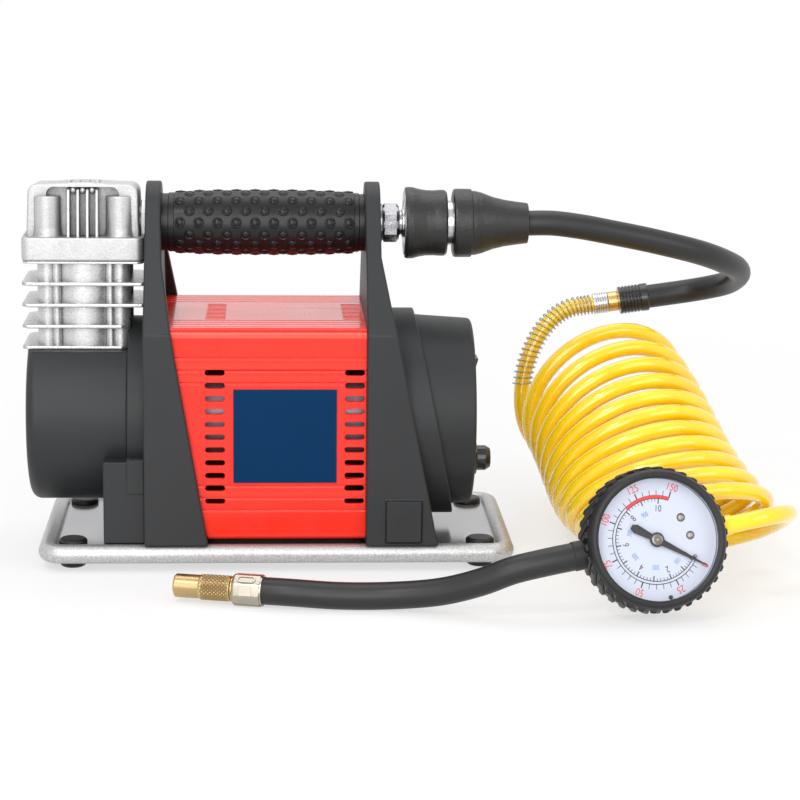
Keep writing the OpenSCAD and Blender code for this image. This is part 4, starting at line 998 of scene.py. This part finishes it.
def headArch():
    # the frame that stands in front of the cast top
    front, top, x = head["front"], head["top"] - 2.2, head["boltX"]
    outline = castOutline()
    arch = upright(slab(outline[1:] + outline[:1] + [(-x, -3), (-x, top, 3.8), (x, top, 3.8), (x, -3)],
                        front, front + 5.5, 8))
    rim = rimEdges(arch, front, 1)
    inner = [e for e in rim if all(abs(v.co.x) < x + 0.1 and v.co.z < top + 0.1 for v in e.verts)]
    outer = [e for e in rim if e not in inner and any(v.co.z > -2.9 for v in e.verts)]
    return rounded(arch, outer, 1.1)


def headRib(outline, half, steps):
    # a thin upright rib across the head, drawn from its side
    rib = slab(outline, -half, half, steps)
    rounded(rib, [e for e in rib.edges if e.calc_face_angle(0) > math.radians(40)], 0.45, 3)
    return placed(rib, Matrix(((0, 0, 1, 0), (1, 0, 0, 0), (0, 1, 0, 0), (0, 0, 0, 1))))


def headShapes():
    front, top, back = head["front"], head["top"], head["back"]
    flange = roundedSlab(head["long"] / 2, head["deep"] / 2, -head["flange"], 0, 4)
    rounded(flange, rimEdges(flange, 0), 0.9, 3)
    rounded(flange, rimEdges(flange, -head["flange"]), 1.3)
    behind = upright(slab(castOutline(), front + 5, back, 8))
    rounded(behind, rimEdges(behind, back, 1), 3.5, 5)
    shapes = [flange, behind, headArch()]
    for side in (-1, 1):
        boss = turned([(0, -0.5), (8.2, -0.5), (7.35, 0.6, 1.5), (6.95, 4, 2), (6.8, 19.9, 0.8), (0, 19.9)])
        shapes.append(placed(boss, moved(side * head["boltX"], -12.6, 0)))
    for k in (-1.5, -0.5, 0.5, 1.5):
        frontRib = headRib([(front - 4.4, -0.5), (front + 7, -0.5), (front + 7, top - 2), (front + 3, top - 2.4),
                            (front + 0.4, top - 3.4, 1.6), (front - 1.5, top - 9, 8)], 0.75, 6)
        topRib = headRib([(front + 4, top - 3), (back - 4, top - 3), (back - 2, top - 0.2, 1),
                          (front + 4.4, top + 0.9, 2)], 0.8, 5)
        shapes += [placed(rib, moved(k * head["rib"], 0, 0)) for rib in (frontRib, topRib)]
    for k in (-1, 0, 1):
        bead = bmesh.new()
        bmesh.ops.create_uvsphere(bead, u_segments=24, v_segments=14, radius=1)
        bmesh.ops.scale(bead, vec=(1.55, 2.6, 1.9), verts=bead.verts)
        shapes.append(placed(bead, moved(k * head["rib"], front + 2.2, top - 3.9)))
    whole = together(*shapes)
    # the top falls off towards the back
    for v in whole.verts:
        if v.co.z > 3:
            v.co.z -= (v.co.y - front) * math.tan(math.radians(head["fall"])) * min(1, (v.co.z - 3) / 12)
    return placed(whole, moved(head["x"], 0, headBase + head["flange"]))


def barrelShapes():
    # a round barrel with posts beside it and four fins, the lower two cut short beside the bracket
    high = head["plateLow"] - head["deck"]
    posts = [(0, 0, 20.5, 128)]
    posts += [(sx * head["boltX"], sy * 14, 5, 40) for sx in (-1, 1) for sy in (-1, 1)]
    posts += [(sx * 13.2, sy * 17.4, 2.2, 24) for sx in (-1, 1) for sy in (-1, 1)]
    shapes = [placed(turned([(0, 0), (r, 0), (r, high), (0, high)], steps), moved(x, y, 0))
              for x, y, r, steps in posts]
    shapes.append(block((-head["boltX"], -13, 0), (head["boltX"], 13, high)))
    for k in range(4):
        left, right = -head["long"] / 2, (-69 - head["x"] if k < 2 else head["long"] / 2 + 1.5)
        plate = slab([(left, -19), (left + 2.5, -22), (right - 3, -22), (right, -19), (right, 16), (right - 6, 22),
                      (left + 6.5, 22), (left, 16)], 0, head["fin"])
        rounded(plate, rimEdges(plate, 0) + rimEdges(plate, head["fin"]), 0.55, 3)
        shapes.append(placed(plate, moved(0, 0, k * head["finPitch"])))
    return placed(together(*shapes), moved(head["x"], 0, head["deck"]))


show("cylinderHead", headShapes(), paints["blasted"], "cylinder_head", crease=40)
show("cylinderBarrel", barrelShapes(), paints["barrel"], "cylinder_barrel", crease=40)
plateShape = roundedSlab(head["long"] / 2 - 0.4, head["deep"] / 2 - 0.4, head["plateLow"], headBase, 3.6)
show("valvePlate", placed(plateShape, moved(head["x"], 0, 0)), paints["barrel"], "valve_plate", edge=0.3)

print("body of the compressor")
finishes = {
    "base_plate": ("tray", 0.3), "rubber_feet": ("rubber", 0.4), "left_bracket": ("charcoal", 0.8),
    "right_bracket": ("charcoal", 0.8), "motor_cover": ("red", 0.35), "motor_shroud": ("charcoal", 0.6),
    "motor_end_cap": ("charcoal", 0.4), "switch_bezel": ("gloss", 0.4), "switch_rocker": ("rocker", 0.4),
    "cable_gland": ("gloss", 0.3), "crankcase": ("charcoal", 0.6), "crankcase_flange": ("charcoal", 0.6),
    "head_screws": ("steel", 0.2), "air_joint": ("steel", 0.3), "plate_screws": ("steel", 0.2)}
for node, (finish, edge) in finishes.items():
    fromNode(node, paints[finish], edge)
label = {"low": (-16.5, -52.8, 44.55), "high": (33.9, -52, 91.05), "edge": 0.08}
strip = {"low": (-68.5, -52.9, 39), "high": (-60.2, -50, 56), "edge": 0.4}
show("labelPanel", block(label["low"], label["high"]), paints["panel"], "label_plate", edge=label["edge"])
show("flangeStrip", block(strip["low"], strip["high"]), paints["charcoal"], edge=strip["edge"])
motorHigh = 70
capRim = turned([(44, 103.1), (44.9, 103.1), (46.9, 103.1, 2.0), (48.55, 79, 1), (50.0, 58), (49, 58), (46, 80),
                 (44, 101)], 128)
show("capRim", placed(capRim, moved(0, 0, motorHigh) @ swung(90, "Y")), paints["charcoal"])
# pieces inside keep their CAD shape
inside = {"handle_tube": "steel", "motor_can": "can", "motor_magnets": "ferrite", "motor_brushes": "ferrite",
          "front_bearing": "bright", "rear_bearing": "bright", "motor_rotor": "copper", "crankshaft": "steel",
          "cooling_fan": "charcoal", "piston": "blasted", "connecting_rod": "steel", "gauge_movement": "brass",
          "chuck_seal": "rubber"}
for node, finish in inside.items():
    keepNode(node, paints[finish])

print("cords")
lengthOf(leadLine)
tuple(farEnd * mm)
lengthOf(yellowLine)
tuple(whipEnd * mm)
lengthOf(whipLine)
